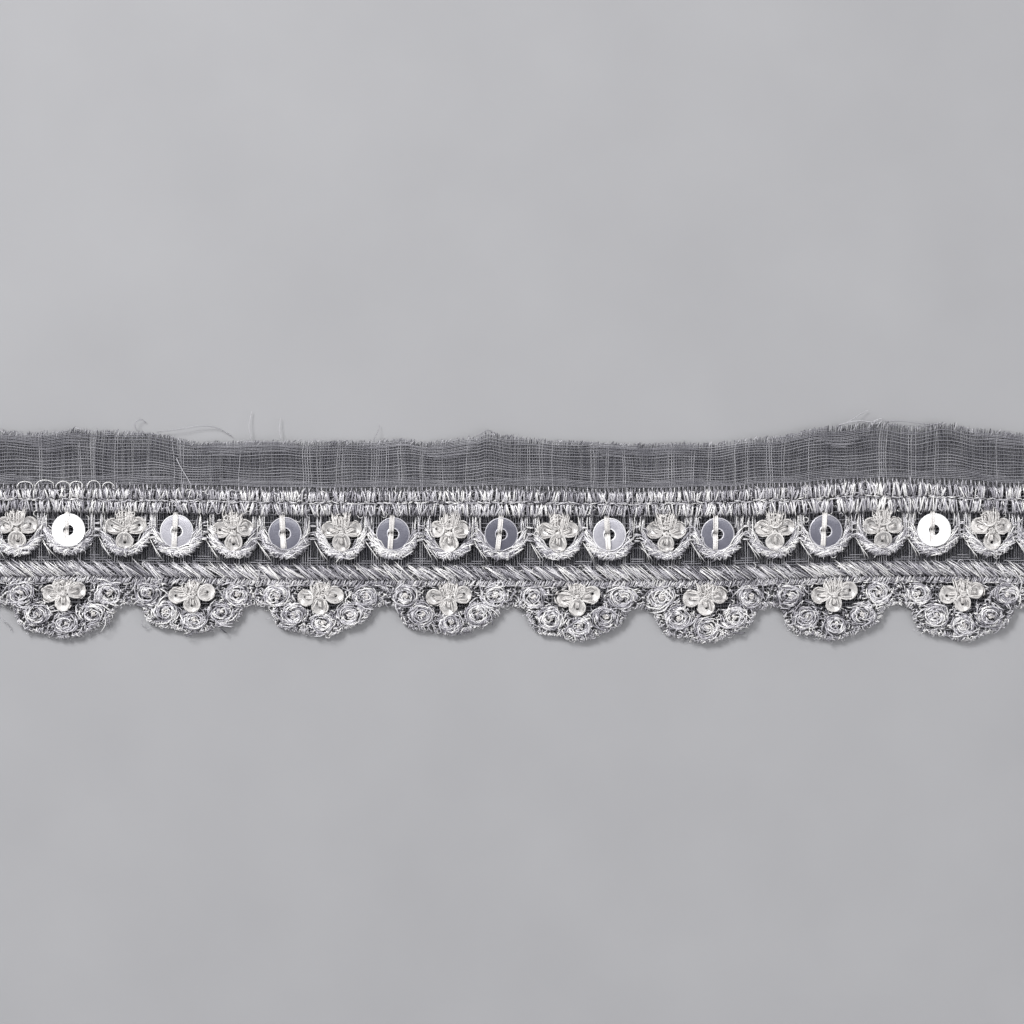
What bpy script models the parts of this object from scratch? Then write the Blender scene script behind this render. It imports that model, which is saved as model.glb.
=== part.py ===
"""Sequin trim: a cut length of embroidered net edging, lying flat, net edge towards +Y.

The base is one piece, net and embroidery together, with the embroidery raised on its upper
face. Loose sequins lie in every second cup, and small-sequin flowers in the cups between
them and in the scallops. Metres, +Z up; the origin is under the middle, on the surface.
"""

import math

import bmesh
import bpy
from mathutils import Vector
from mathutils.geometry import delaunay_2d_cdt

MM = 0.001

# Driving sizes, in millimetres: the 5 mm sequin sets the scale of all the others
LENGTH = 192.4
SEQUIN_DIAMETER = 5.0
SEQUIN_HOLE = 1.4
SEQUIN_THICKNESS = 0.3
PETAL_DIAMETER = 2.8
PETAL_THICKNESS = 0.35
SHEET_THICKNESS = 1.0
GAP = 0.3

# Across the trim, measured up from the line through the cup centres
NEEDLE_LINE = 6.6
HEADING_MIDDLE = 5.0
HEADING_FOOT = 2.9
CHEVRON_TOP = -4.75
CHEVRON_FOLD = -7.1
CHEVRON_FOOT = -8.1
NOTCH_TOP = -11.1

# Cups
CUP_PITCH = 8.19
CUP_COUNT = 23
CUP_ROW_SHIFT = -0.45
CUP_INNER = 2.75
CUP_OUTER = 4.05
CUP_SIDE = 1.5
SEQUIN_SHIFT = -0.4
CUP_HEIGHT = 0.65

# Scallops and their eyelet rings
SCALLOP_PITCH = 19.43
SCALLOP_COUNT = 10
FIRST_SCALLOP = -86.5
RING_RADIUS = 1.9
RING_CREST = 1.2
RING_HEIGHT = 0.75
FILL_HEIGHT = 0.35
FLOWER_LINE = -9.6
WINDOW_HALF_WIDTH = 3.9
WINDOW_HALF_HEIGHT = 2.4

# Heights of the stitched bands above the net
HEADING_HEIGHT = 0.6
HEADING_GROOVE = 0.35
CHEVRON_HEIGHT = 0.6
CHEVRON_GROOVE = 0.35
CHEVRON_BUNDLE = 1.9
CHEVRON_SLANT = 2.2
BUNDLE_HEIGHT = 0.12
EDGE_HEIGHT = 0.15

# How closely the upper face follows its features
POINT_SPACING = 3.0
EDGE_SPACING = 2.4
LEAST_SPACING = 0.4
END_MARGIN = 1.0
SHOULDER = 0.3
SEQUIN_SIDES = 20
WELD = 1e-6

# How the whole trim wanders as it lies: along, rise of the cup line, rise of the needle line
WANDER = (
    (-96.2, 0.25, 0.20),
    (-66.0, 0.30, 0.10),
    (-50.1, 0.10, 0.00),
    (-33.4, -0.25, -0.20),
    (-17.2, -0.30, -0.20),
    (15.5, -0.40, -0.20),
    (31.4, -0.35, -0.10),
    (41.0, -0.10, 0.30),
    (54.5, 0.30, 1.05),
    (65.0, 0.33, 0.80),
    (78.3, 0.10, 0.25),
    (96.2, 0.00, 0.10),
)

# The raw cut edge of the net: along, height across, lift off the surface
RAW_EDGE = (
    (-96.2, 15.0, 0.10),
    (-76.8, 15.3, 0.45),
    (-71.8, 14.9, 0.50),
    (-65.1, 15.4, 0.30),
    (-54.5, 15.0, 0.05),
    (-45.9, 13.5, 0.20),
    (-38.0, 13.7, 0.50),
    (-20.8, 13.7, 0.15),
    (-15.8, 14.0, 0.05),
    (-12.1, 13.5, 0.10),
    (-4.7, 14.3, 0.45),
    (-2.9, 15.0, 0.55),
    (0.8, 14.4, 0.50),
    (8.2, 13.7, 0.25),
    (20.0, 13.3, 0.05),
    (30.5, 13.4, 0.25),
    (39.5, 14.3, 0.55),
    (49.4, 15.9, 0.30),
    (56.8, 16.6, 0.10),
    (61.8, 15.9, 0.25),
    (65.8, 16.4, 0.50),
    (71.7, 15.5, 0.55),
    (78.3, 14.8, 0.20),
    (96.2, 14.4, 0.05),
)

# One scallop's edge, left to right: along from its centre, height across
SCALLOP_EDGE = (
    (-9.7, -11.0),
    (-7.9, -11.3),
    (-7.3, -13.1),
    (-6.7, -14.2),
    (-5.4, -15.0),
    (-3.0, -15.3),
    (-0.6, -16.0),
    (1.2, -15.9),
    (2.4, -15.6),
    (3.7, -14.9),
    (5.4, -14.3),
    (6.7, -13.6),
    (7.3, -12.7),
    (7.9, -11.4),
)
DEEPEST = min(across for _, across in SCALLOP_EDGE)

# How far each scallop reaches past that edge
SCALLOP_REACH = (0.0, 0.4, -0.6, -0.5, -0.7, 0.1, 0.4, 0.5, 0.8, 0.2)

# The rings of one scallop: along from its centre, height across, size
RINGS = (
    (-6.7, -9.5, 1.0),
    (-4.1, -12.6, 1.0),
    (0.2, -13.9, 0.9),
    (4.3, -12.5, 1.0),
    (6.8, -9.5, 1.0),
)

# The loose sequins as they lie: tip towards the net edge, lean to the right, in degrees
SEQUIN_LIE = (
    (1.5, -2.0),
    (-4.5, 1.0),
    (2.0, 3.0),
    (-1.0, -2.5),
    (1.0, 1.5),
    (2.0, -1.5),
    (-3.0, 2.0),
    (1.5, -1.0),
    (-1.0, 2.5),
    (-4.5, -1.5),
    (2.0, 1.0),
)

# The petals of a flower: along, across, size, tip outwards in degrees
CUP_PETALS = (
    (-1.7, 0.1, 0.95, 14.0),
    (1.7, 0.1, 0.95, 14.0),
    (0.0, -1.7, 1.05, 14.0),
    (-0.1, 1.8, 1.0, 14.0),
)
SCALLOP_PETALS = (
    (-2.1, -0.2, 1.0, 12.0),
    (2.1, 0.1, 1.0, 12.0),
    (0.0, -1.35, 1.0, 14.0),
    (0.0, 0.8, 1.0, 12.0),
)
FLOWER_EYE_RADIUS = 1.15
FLOWER_EYE_HEIGHT = 0.75

# Colour, roughness, metallic
FINISHES = {
    "stitched net": ((0.62, 0.62, 0.65), 0.45, 0.30),
    "sequin": ((0.78, 0.78, 0.81), 0.20, 0.90),
    "flower": ((0.80, 0.78, 0.75), 0.35, 0.20),
}


def along_table(table, x, column):
    """The table's column at x, eased between its rows."""
    if x <= table[0][0]:
        return table[0][column]
    for here, there in zip(table, table[1:]):
        if x <= there[0]:
            share = (x - here[0]) / (there[0] - here[0])
            share = share * share * (3 - 2 * share)
            return here[column] + share * (there[column] - here[column])
    return table[-1][column]


def cup_line(x):
    return along_table(WANDER, x, 1)


def needle_line(x):
    return NEEDLE_LINE + along_table(WANDER, x, 2)


def raw_edge(x):
    return along_table(RAW_EDGE, x, 1)


def lift(x, y):
    """How far the underside rises off the surface: only the free net lifts, towards its raw edge."""
    start = needle_line(x)
    share = min(max((y - start) / (raw_edge(x) - start), 0.0), 1.0)
    return share * share * along_table(RAW_EDGE, x, 2)


def cup_centres():
    """(along, whether a loose sequin lies in it) for each cup."""
    middle = (CUP_COUNT - 1) / 2
    for number in range(CUP_COUNT):
        holds_sequin = number % 2 == 1
        shift = SEQUIN_SHIFT if holds_sequin else 0.0
        yield (number - middle) * CUP_PITCH + CUP_ROW_SHIFT + shift, holds_sequin


def scallop_centres():
    return [FIRST_SCALLOP + number * SCALLOP_PITCH for number in range(SCALLOP_COUNT)]


def reached(across, reach):
    """A place in a scallop, stretched towards the edge by its scallop's reach."""
    return across - reach * (CHEVRON_FOOT - across) / (CHEVRON_FOOT - DEEPEST)


def rings():
    """(along, across, size) of every eyelet ring."""
    for centre, reach in zip(scallop_centres(), SCALLOP_REACH):
        for along, across, size in RINGS:
            yield centre + along, reached(across, reach) + cup_line(centre + along), size


EYELETS = list(rings())


def ridge(distance, half_width, height):
    """A rounded ridge's height at this distance from its crest."""
    share = min(abs(distance) / half_width, 1.0)
    return height * (1 - share * share)


def heading_height(up):
    if up > NEEDLE_LINE or up < HEADING_FOOT:
        return 0.0
    upper_half = (NEEDLE_LINE - HEADING_MIDDLE) / 2
    lower_half = (HEADING_MIDDLE - HEADING_FOOT) / 2
    upper = ridge(up - HEADING_MIDDLE - upper_half, upper_half, HEADING_HEIGHT)
    lower = ridge(up - HEADING_FOOT - lower_half, lower_half, HEADING_HEIGHT)
    groove = ridge(up - HEADING_MIDDLE, lower_half, HEADING_GROOVE)
    return max(upper, lower, groove)


def chevron_height(x, up):
    if up > CHEVRON_TOP or up < CHEVRON_FOOT:
        return 0.0
    upper_half = (CHEVRON_TOP - CHEVRON_FOLD) / 2
    lower_half = (CHEVRON_FOLD - CHEVRON_FOOT) / 2
    upper = ridge(up - CHEVRON_FOLD - upper_half, upper_half, CHEVRON_HEIGHT)
    if upper > CHEVRON_GROOVE:
        slid = x - CHEVRON_SLANT * (CHEVRON_TOP - up) / (CHEVRON_TOP - CHEVRON_FOLD)
        upper += BUNDLE_HEIGHT * math.cos(2 * math.pi * slid / CHEVRON_BUNDLE)
    lower = ridge(up - CHEVRON_FOOT - lower_half, lower_half, CHEVRON_HEIGHT)
    return max(upper, lower, CHEVRON_GROOVE)


def cup_height(x, up):
    """Each cup is a raised band below its item, whose sides run up to the heading."""
    if not CHEVRON_TOP < up < HEADING_FOOT:
        return 0.0
    half_width = (CUP_OUTER - CUP_INNER) / 2
    highest = 0.0
    for centre, _ in cup_centres():
        if abs(x - centre) > CUP_PITCH:
            continue
        across = min(up, 0.0)
        distance = math.hypot(x - centre, across) - CUP_INNER - half_width
        highest = max(highest, ridge(distance, half_width, CUP_HEIGHT))
    return highest


def scallop_height(x, y, up):
    """Filled between its rings, and low in the window round its flower."""
    if up > CHEVRON_FOOT:
        return 0.0
    for along, across, size in EYELETS:
        distance = math.hypot(x - along, y - across)
        if distance < RING_RADIUS * size:
            half_width = (RING_RADIUS - RING_CREST) * size
            raised = ridge(distance - RING_CREST * size, half_width, RING_HEIGHT - FILL_HEIGHT)
            hollow = EDGE_HEIGHT if distance < RING_CREST * size else FILL_HEIGHT
            return hollow + raised
    for centre in scallop_centres():
        across = (up - FLOWER_LINE) / WINDOW_HALF_HEIGHT
        if math.hypot((x - centre) / WINDOW_HALF_WIDTH, across) < 1:
            return EDGE_HEIGHT
    return FILL_HEIGHT


def stitched_height(x, y):
    """How far the stitching stands over the net at this place."""
    up = y - cup_line(x)
    spread = (y - cup_line(x)) * NEEDLE_LINE / (needle_line(x) - cup_line(x))
    return max(
        heading_height(spread if up > HEADING_FOOT else up),
        chevron_height(x, up),
        cup_height(x, up),
        scallop_height(x, y, up),
    )


def spread_out(start, end, spacing):
    """Even steps from start to end, about this far apart, both ends included."""
    count = max(1, round(abs(end - start) / spacing))
    return [start + (end - start) * step / count for step in range(count + 1)]


def lower_edge():
    """The scalloped edge and its notches, from the left end to the right."""
    half = LENGTH / 2
    points = [(-half, NOTCH_TOP + cup_line(-half))]
    for centre, reach in zip(scallop_centres(), SCALLOP_REACH):
        for along, across in SCALLOP_EDGE:
            x = centre + along
            if abs(x) < half - LEAST_SPACING:
                points.append((x, reached(across, reach) + cup_line(x)))
    return points + [(half, NOTCH_TOP + cup_line(half))]


def outline():
    """The trim's edge in plan, anticlockwise."""
    lower = lower_edge()
    half = LENGTH / 2
    side = spread_out(lower[-1][1], raw_edge(half), POINT_SPACING)[1:-1]
    right = [(half, y) for y in side]
    top = [(x, raw_edge(x)) for x in spread_out(half, -half, EDGE_SPACING)]
    left = [(-half, y) for y in reversed(side)]
    return lower + right + top + left


def feature_points():
    """Points on every line, arc and ring where the upper face turns."""
    half = LENGTH / 2 - END_MARGIN
    stations = spread_out(-half, half, POINT_SPACING)
    for share in (0.35, 0.7):
        for x in stations:
            yield x, needle_line(x) + share * (raw_edge(x) - needle_line(x))
    upper_crest = (NEEDLE_LINE + HEADING_MIDDLE) / 2
    lower_crest = (HEADING_MIDDLE + HEADING_FOOT) / 2
    lines = (NEEDLE_LINE, upper_crest, HEADING_MIDDLE, lower_crest, HEADING_FOOT)
    for line in (NEEDLE_LINE + SHOULDER, *lines):
        for x in stations:
            yield x, cup_line(x) + line * (needle_line(x) - cup_line(x)) / NEEDLE_LINE
    yield from cup_points()
    yield from chevron_points(half)
    yield from scallop_points()


def cup_points():
    half_width = (CUP_OUTER - CUP_INNER) / 2
    for centre, _ in cup_centres():
        middle = cup_line(centre)
        yield centre, middle
        for radius in (CUP_INNER, CUP_INNER + half_width, CUP_OUTER):
            for degrees in spread_out(180, 360, 22.5):
                angle = math.radians(degrees)
                yield centre + radius * math.cos(angle), middle + radius * math.sin(angle)
        for side in (-1, 1):
            for radius in (CUP_INNER, CUP_INNER + half_width):
                yield centre + side * radius, middle + CUP_SIDE


def chevron_points(half):
    """The band's long lines, and the crest and groove of every slanting bundle of thread."""
    for x in spread_out(-half, half, POINT_SPACING):
        for up in (CHEVRON_TOP + SHOULDER, (CHEVRON_FOLD + CHEVRON_FOOT) / 2, CHEVRON_FOOT):
            yield x, up + cup_line(x)
    for start in spread_out(-half, half - CHEVRON_SLANT, CHEVRON_BUNDLE / 2):
        for share in (0.0, 0.35, 0.65, 1.0):
            x = start + share * CHEVRON_SLANT
            yield x, CHEVRON_TOP + share * (CHEVRON_FOLD - CHEVRON_TOP) + cup_line(x)


def scallop_points():
    for along, across, size in EYELETS:
        yield along, across
        for radius in (RING_CREST, RING_RADIUS):
            for degrees in spread_out(0, 315, 45):
                angle = math.radians(degrees)
                yield along + radius * size * math.cos(angle), across + radius * size * math.sin(angle)
    for centre in scallop_centres():
        for degrees in spread_out(0, 330, 30):
            angle = math.radians(degrees)
            x = centre + WINDOW_HALF_WIDTH * math.cos(angle)
            y = FLOWER_LINE + WINDOW_HALF_HEIGHT * math.sin(angle)
            if y < CHEVRON_FOOT:
                yield x, y + cup_line(x)


def inside_edge(x, y, edge):
    """Whether the point is inside the outline, by counting the edges above it."""
    crossings = 0
    for (x0, y0), (x1, y1) in zip(edge, edge[1:] + edge[:1]):
        if (x0 > x) != (x1 > x) and y < y0 + (y1 - y0) * (x - x0) / (x1 - x0):
            crossings += 1
    return crossings % 2 == 1


def thinned(candidates, edge):
    """The candidates that lie inside the edge and aren't crowded by it or by each other."""
    kept, taken = [], {}

    def crowded(x, y):
        column, row = int(x // LEAST_SPACING), int(y // LEAST_SPACING)
        near = [(i, j) for i in (-1, 0, 1) for j in (-1, 0, 1)]
        return any(
            math.hypot(x - a, y - b) < LEAST_SPACING
            for i, j in near
            for a, b in taken.get((column + i, row + j), ())
        )

    def take(x, y):
        taken.setdefault((int(x // LEAST_SPACING), int(y // LEAST_SPACING)), []).append((x, y))

    for x, y in edge:
        take(x, y)
    for x, y in candidates:
        if not crowded(x, y) and inside_edge(x, y, edge):
            take(x, y)
            kept.append((x, y))
    return kept


def filled(edge, interior):
    """Triangles over the outline through the interior points."""
    flat = [Vector(point) for point in edge + interior]
    found = delaunay_2d_cdt(flat, [], [list(range(len(edge)))], 1, WELD)
    return found[0], found[2]


def build_base(collection):
    """Net and embroidery: a raised upper face, a plain underside and a rim between them."""
    edge = outline()
    mesh = bmesh.new()

    def add_face_of(interior, height):
        places, triangles = filled(edge, interior)
        corners = [mesh.verts.new((x * MM, y * MM, height(x, y) * MM)) for x, y in places]
        for triangle in triangles:
            mesh.faces.new([corners[index] for index in triangle])
        return corners

    def upper(x, y):
        return lift(x, y) + SHEET_THICKNESS + stitched_height(x, y)

    half = LENGTH / 2 - END_MARGIN
    under_net = [
        (x, needle_line(x) + share * (raw_edge(x) - needle_line(x)))
        for share in (0.0, 0.5)
        for x in spread_out(-half, half, 2 * POINT_SPACING)
    ]
    top = add_face_of(thinned(feature_points(), edge), upper)
    bottom = add_face_of(under_net, lift)
    for index in range(len(edge)):
        after = (index + 1) % len(edge)
        mesh.faces.new((top[index], top[after], bottom[after], bottom[index]))
    bmesh.ops.recalc_face_normals(mesh, faces=mesh.faces)
    data = finished(mesh, "trim_base", "stitched net")
    collection.objects.link(bpy.data.objects.new("trim_base", data))


def finished(mesh, name, finish):
    """The built shape as mesh data with its finish."""
    data = bpy.data.meshes.new(name)
    mesh.to_mesh(data)
    mesh.free()
    data.materials.append(bpy.data.materials[finish])
    return data


def sequin_mesh():
    """A flat disc with a round hole, standing on z = 0."""
    profile = (
        (SEQUIN_DIAMETER / 2, SEQUIN_THICKNESS),
        (SEQUIN_DIAMETER / 2, 0.0),
        (SEQUIN_HOLE / 2, 0.0),
        (SEQUIN_HOLE / 2, SEQUIN_THICKNESS),
    )
    mesh = bmesh.new()
    corners = [mesh.verts.new((radius * MM, 0, height * MM)) for radius, height in profile]
    loop = [mesh.edges.new((corners[i], corners[(i + 1) % 4])) for i in range(4)]
    bmesh.ops.spin(
        mesh,
        geom=corners + loop,
        axis=(0, 0, 1),
        cent=(0, 0, 0),
        angle=2 * math.pi,
        steps=SEQUIN_SIDES,
    )
    bmesh.ops.remove_doubles(mesh, verts=mesh.verts, dist=WELD)
    bmesh.ops.recalc_face_normals(mesh, faces=mesh.faces)
    return finished(mesh, "sequin", "sequin")


def flower_mesh(name, petals):
    """Four small sequins tipped outwards and the threads at their middle, joined as one body."""
    bpy.ops.mesh.primitive_uv_sphere_add(segments=10, ring_count=6, radius=1)
    eye = bpy.context.object
    eye.scale = [r * MM for r in (FLOWER_EYE_RADIUS, FLOWER_EYE_RADIUS, FLOWER_EYE_HEIGHT)]
    bpy.ops.object.transform_apply(scale=True)
    discs = []
    for along, across, size, tip in petals:
        bpy.ops.mesh.primitive_cylinder_add(
            vertices=12,
            radius=PETAL_DIAMETER / 2 * size * MM,
            depth=PETAL_THICKNESS * MM,
            location=(along * MM, across * MM, 0),
        )
        disc = bpy.context.object
        outwards = Vector((along, across, 0)).normalized()
        hinge = outwards.cross(Vector((0, 0, 1)))
        disc.rotation_mode = "AXIS_ANGLE"
        disc.rotation_axis_angle = (-math.radians(tip), *hinge)
        union = eye.modifiers.new("petal", "BOOLEAN")
        union.operation = "UNION"
        union.object = disc
        discs.append(disc)
    graph = bpy.context.evaluated_depsgraph_get()
    data = bpy.data.meshes.new_from_object(eye.evaluated_get(graph))
    for helper in (eye, *discs):
        bpy.data.objects.remove(helper)
    data.name = name
    data.materials.clear()
    data.materials.append(bpy.data.materials["flower"])
    return data


def place_copies(name, data, places, collection):
    """One object for each (location in millimetres, rotation in degrees)."""
    for number, (location, turn) in enumerate(places, 1):
        piece = bpy.data.objects.new(f"{name}_{number:02d}", data)
        piece.location = [value * MM for value in location]
        piece.rotation_euler = [math.radians(value) for value in turn]
        collection.objects.link(piece)


def lowest(data):
    return min(vertex.co.z for vertex in data.vertices) / MM


def place_items(collection):
    """The loose sequins, the cup flowers and the scallop flowers."""
    lying = SHEET_THICKNESS + GAP
    sequin_places, flower_places = [], []
    tilts = iter(SEQUIN_LIE)
    cup_flower = flower_mesh("cup_flower", CUP_PETALS)
    scallop_flower = flower_mesh("scallop_flower", SCALLOP_PETALS)
    for x, holds_sequin in cup_centres():
        if holds_sequin:
            tip, lean = next(tilts)
            rise = SEQUIN_DIAMETER / 2 * math.sin(math.radians(math.hypot(tip, lean)))
            sequin_places.append(((x, cup_line(x), lying + rise), (tip, lean, 0)))
        else:
            flower_places.append(((x, cup_line(x), lying - lowest(cup_flower)), (0, 0, 0)))
    place_copies("sequin", sequin_mesh(), sequin_places, collection)
    place_copies("cup_flower", cup_flower, flower_places, collection)
    raised = lying + EDGE_HEIGHT - lowest(scallop_flower)
    places = [((x, FLOWER_LINE + cup_line(x), raised), (0, 0, 0)) for x in scallop_centres()]
    place_copies("scallop_flower", scallop_flower, places, collection)


def centre_on_origin(collection):
    """Slides everything across so that the base's box is centred over the origin."""
    heights = [vertex.co.y for vertex in bpy.data.objects["trim_base"].data.vertices]
    middle = (min(heights) + max(heights)) / 2
    for piece in collection.objects:
        piece.location.y -= middle


def make_material(name, colour, roughness, metallic):
    material = bpy.data.materials.new(name)
    material.use_nodes = True
    shader = material.node_tree.nodes["Principled BSDF"]
    shader.inputs["Base Color"].default_value = (*colour, 1)
    shader.inputs["Roughness"].default_value = roughness
    shader.inputs["Metallic"].default_value = metallic


for old in list(bpy.data.objects):
    bpy.data.objects.remove(old)
for finish, values in FINISHES.items():
    make_material(finish, *values)
trim = bpy.data.collections.new("sequin trim")
bpy.context.scene.collection.children.link(trim)
build_base(trim)
place_items(trim)
centre_on_origin(trim)
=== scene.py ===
import math

import bpy
import numpy as np
from mathutils import Euler, Matrix, Vector


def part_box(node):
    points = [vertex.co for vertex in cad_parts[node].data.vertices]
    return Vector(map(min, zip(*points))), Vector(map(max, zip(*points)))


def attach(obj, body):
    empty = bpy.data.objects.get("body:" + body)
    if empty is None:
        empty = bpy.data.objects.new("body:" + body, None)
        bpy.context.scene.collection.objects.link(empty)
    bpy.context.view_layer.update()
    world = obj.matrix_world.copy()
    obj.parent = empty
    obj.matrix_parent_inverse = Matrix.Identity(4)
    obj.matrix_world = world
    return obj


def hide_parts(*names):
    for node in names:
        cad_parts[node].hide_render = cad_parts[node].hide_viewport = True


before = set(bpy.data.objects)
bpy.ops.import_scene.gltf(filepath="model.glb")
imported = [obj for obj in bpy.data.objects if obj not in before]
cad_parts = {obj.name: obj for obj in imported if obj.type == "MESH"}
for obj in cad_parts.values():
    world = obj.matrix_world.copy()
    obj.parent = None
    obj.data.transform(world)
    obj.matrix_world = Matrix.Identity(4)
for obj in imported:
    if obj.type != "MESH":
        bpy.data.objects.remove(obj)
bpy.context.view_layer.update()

mm = 0.001

# The trim's plan, in millimetres: x along it, v up from the line through the cup centres
trim = {
    "length": 192.4,
    "meanAcross": 30.0,
    "needleLine": 6.6,
    "headingMiddle": 5.0,
    "headingFoot": 2.9,
    "chevronTop": -4.75,
    "chevronFold": -7.1,
    "chevronFoot": -8.1,
    "netTop": 14.4,
    "cupPitch": 8.19,
    "cupCount": 23,
    "cupRowShift": -0.45,
    "cupInner": 2.7,
    "cupOuter": 4.0,
    "sequinShift": -0.4,
    "scallopPitch": 19.43,
    "scallopCount": 10,
    "firstScallop": -86.5,
    "flowerLine": -9.6,
    "needlePitch": 0.66,
}

# How the trim wanders as it lies: along, rise of the cup line, rise of the needle line
wander = [
    (-96.2, 0.25, 0.20),
    (-66.0, 0.30, 0.10),
    (-50.1, 0.10, 0.00),
    (-33.4, -0.25, -0.35),
    (-17.2, -0.30, -0.35),
    (-3.0, -0.35, -0.10),
    (15.5, -0.40, -0.50),
    (31.4, -0.35, -0.20),
    (41.0, -0.10, 0.30),
    (54.5, 0.30, 1.05),
    (65.0, 0.33, 0.80),
    (78.3, 0.10, 0.25),
    (96.2, 0.00, 0.10),
]

# The raw cut edge of the net: along, height across, lift off the surface
rawEdge = [
    (-96.2, 15.0, 0.10),
    (-76.8, 15.3, 0.45),
    (-71.8, 14.9, 0.50),
    (-65.1, 15.4, 0.30),
    (-54.5, 15.0, 0.05),
    (-45.9, 13.5, 0.20),
    (-38.0, 13.7, 0.50),
    (-20.8, 13.7, 0.15),
    (-15.8, 14.0, 0.05),
    (-12.1, 13.5, 0.10),
    (-4.7, 14.3, 0.45),
    (-2.9, 15.0, 0.55),
    (0.8, 14.4, 0.50),
    (8.2, 13.7, 0.25),
    (20.0, 13.3, 0.05),
    (30.5, 13.4, 0.25),
    (39.5, 14.3, 0.55),
    (49.4, 15.9, 0.30),
    (56.8, 16.6, 0.10),
    (61.8, 15.9, 0.25),
    (65.8, 16.4, 0.50),
    (71.7, 15.5, 0.55),
    (78.3, 14.8, 0.20),
    (96.2, 14.4, 0.05),
]

# One scallop's edge from left to right, and how far each scallop reaches past it
scallopEdge = [
    (-9.7, -11.0),
    (-7.9, -11.3),
    (-7.3, -13.1),
    (-6.7, -14.2),
    (-5.4, -15.0),
    (-3.0, -15.3),
    (-0.6, -16.0),
    (1.2, -15.9),
    (2.4, -15.6),
    (3.7, -14.9),
    (5.4, -14.3),
    (6.7, -13.6),
    (7.3, -12.7),
    (7.9, -11.4),
]
scallopReach = [0.0, 0.4, -0.6, -0.5, -0.7, 0.1, 0.4, 0.5, 0.8, 0.2]

# The eyelet rings of one scallop: along from its centre, height across, size
scallopRings = [
    (-6.7, -9.5, 1.0),
    (-4.1, -12.6, 1.0),
    (0.2, -13.9, 0.9),
    (4.3, -12.5, 1.0),
    (6.8, -9.5, 1.0),
]

halfLength = trim["length"] / 2


def alongTable(table, x, column):
    rows = np.array(table)
    x = np.clip(np.asarray(x, float), rows[0, 0], rows[-1, 0])
    after = np.clip(np.searchsorted(rows[:, 0], x), 1, len(rows) - 1)
    share = (x - rows[after - 1, 0]) / (rows[after, 0] - rows[after - 1, 0])
    share = share * share * (3 - 2 * share)
    return rows[after - 1, column] * (1 - share) + rows[after, column] * share


sequinLow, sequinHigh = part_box("sequin_06")
middleSequin = (sequinLow + sequinHigh) / 2 / mm
rowY = middleSequin.y - float(alongTable(wander, middleSequin.x, 1))


def smooth(share):
    share = np.clip(share, 0, 1)
    return share * share * (3 - 2 * share)


def cupLine(x):
    return rowY + alongTable(wander, x, 1)


def acrossAt(x, v):
    cups = cupLine(x)
    needles = rowY + trim["needleLine"] + alongTable(wander, x, 2)
    raw = rowY + alongTable(rawEdge, x, 1)
    foot = trim["headingFoot"]
    inHeading = cups + foot + (v - foot) / (trim["needleLine"] - foot) * (needles - cups - foot)
    inNet = needles + (v - trim["needleLine"]) / (trim["netTop"] - trim["needleLine"]) * (raw - needles)
    return np.where(v <= foot, cups + v, np.where(v <= trim["needleLine"], inHeading, inNet))


def cupCentres():
    middle = (trim["cupCount"] - 1) / 2
    for number in range(trim["cupCount"]):
        holdsSequin = number % 2 == 1
        shift = trim["sequinShift"] if holdsSequin else 0.0
        yield (number - middle) * trim["cupPitch"] + trim["cupRowShift"] + shift, holdsSequin


def scallopCentres():
    return [trim["firstScallop"] + number * trim["scallopPitch"] for number in range(trim["scallopCount"])]


def reached(across, reach):
    deepest = min(v for x, v in scallopEdge)
    return across - reach * (trim["chevronFoot"] - across) / (trim["chevronFoot"] - deepest)


def eyelets():
    for centre, reach in zip(scallopCentres(), scallopReach):
        for along, across, size in scallopRings:
            yield centre + along, reached(across, reach), size


cupPlaces = list(cupCentres())
eyeletPlaces = list(eyelets())


def cupDistance(x, v):
    centres = np.array([x0 for x0, holdsSequin in cupPlaces])
    return np.hypot(x[..., None] - centres, v[..., None]).min(axis=-1)


def netLevel(x, v):
    free = (v - trim["needleLine"]) / (trim["netTop"] - trim["needleLine"])
    level = 0.8 - 0.38 * smooth(free * 4) + 0.2 * smooth(1.5 - cupDistance(x, v) / 2)
    ripple = 0.07 * np.sin(x * 0.31 + v * 0.5) * smooth(free * 3)
    return level + ripple + np.clip(free, 0, 1.1) ** 2 * alongTable(rawEdge, x, 2)


def edgeBelow(x):
    rows = np.array(scallopEdge)
    reach = np.array(scallopReach)
    number = np.floor((x - trim["firstScallop"]) / trim["scallopPitch"] + 0.5)
    number = np.clip(number, 0, trim["scallopCount"] - 1).astype(int)
    offset = x - trim["firstScallop"] - number * trim["scallopPitch"]
    closed = np.vstack([rows, [rows[0, 0] + trim["scallopPitch"], rows[0, 1]]])
    across = np.interp(offset, closed[:, 0], closed[:, 1])
    deepest = rows[:, 1].min()
    return across - reach[number] * (trim["chevronFoot"] - across) / (trim["chevronFoot"] - deepest)


# Threads. A path is a row of points (x, v, z) on the plan; a batch holds paths with equal counts.

def onTrim(paths):
    laid = paths.copy()
    laid[..., 1] = acrossAt(paths[..., 0], paths[..., 1])
    return laid


longStitch = (np.array([0.0, 0.13, 0.5, 0.87, 1.0]), np.array([0.0, 0.8, 1.0, 0.8, 0.0]))
shortStitch = (np.array([0.0, 0.22, 0.76, 1.0]), np.array([0.0, 0.95, 0.9, 0.0]))


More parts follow.
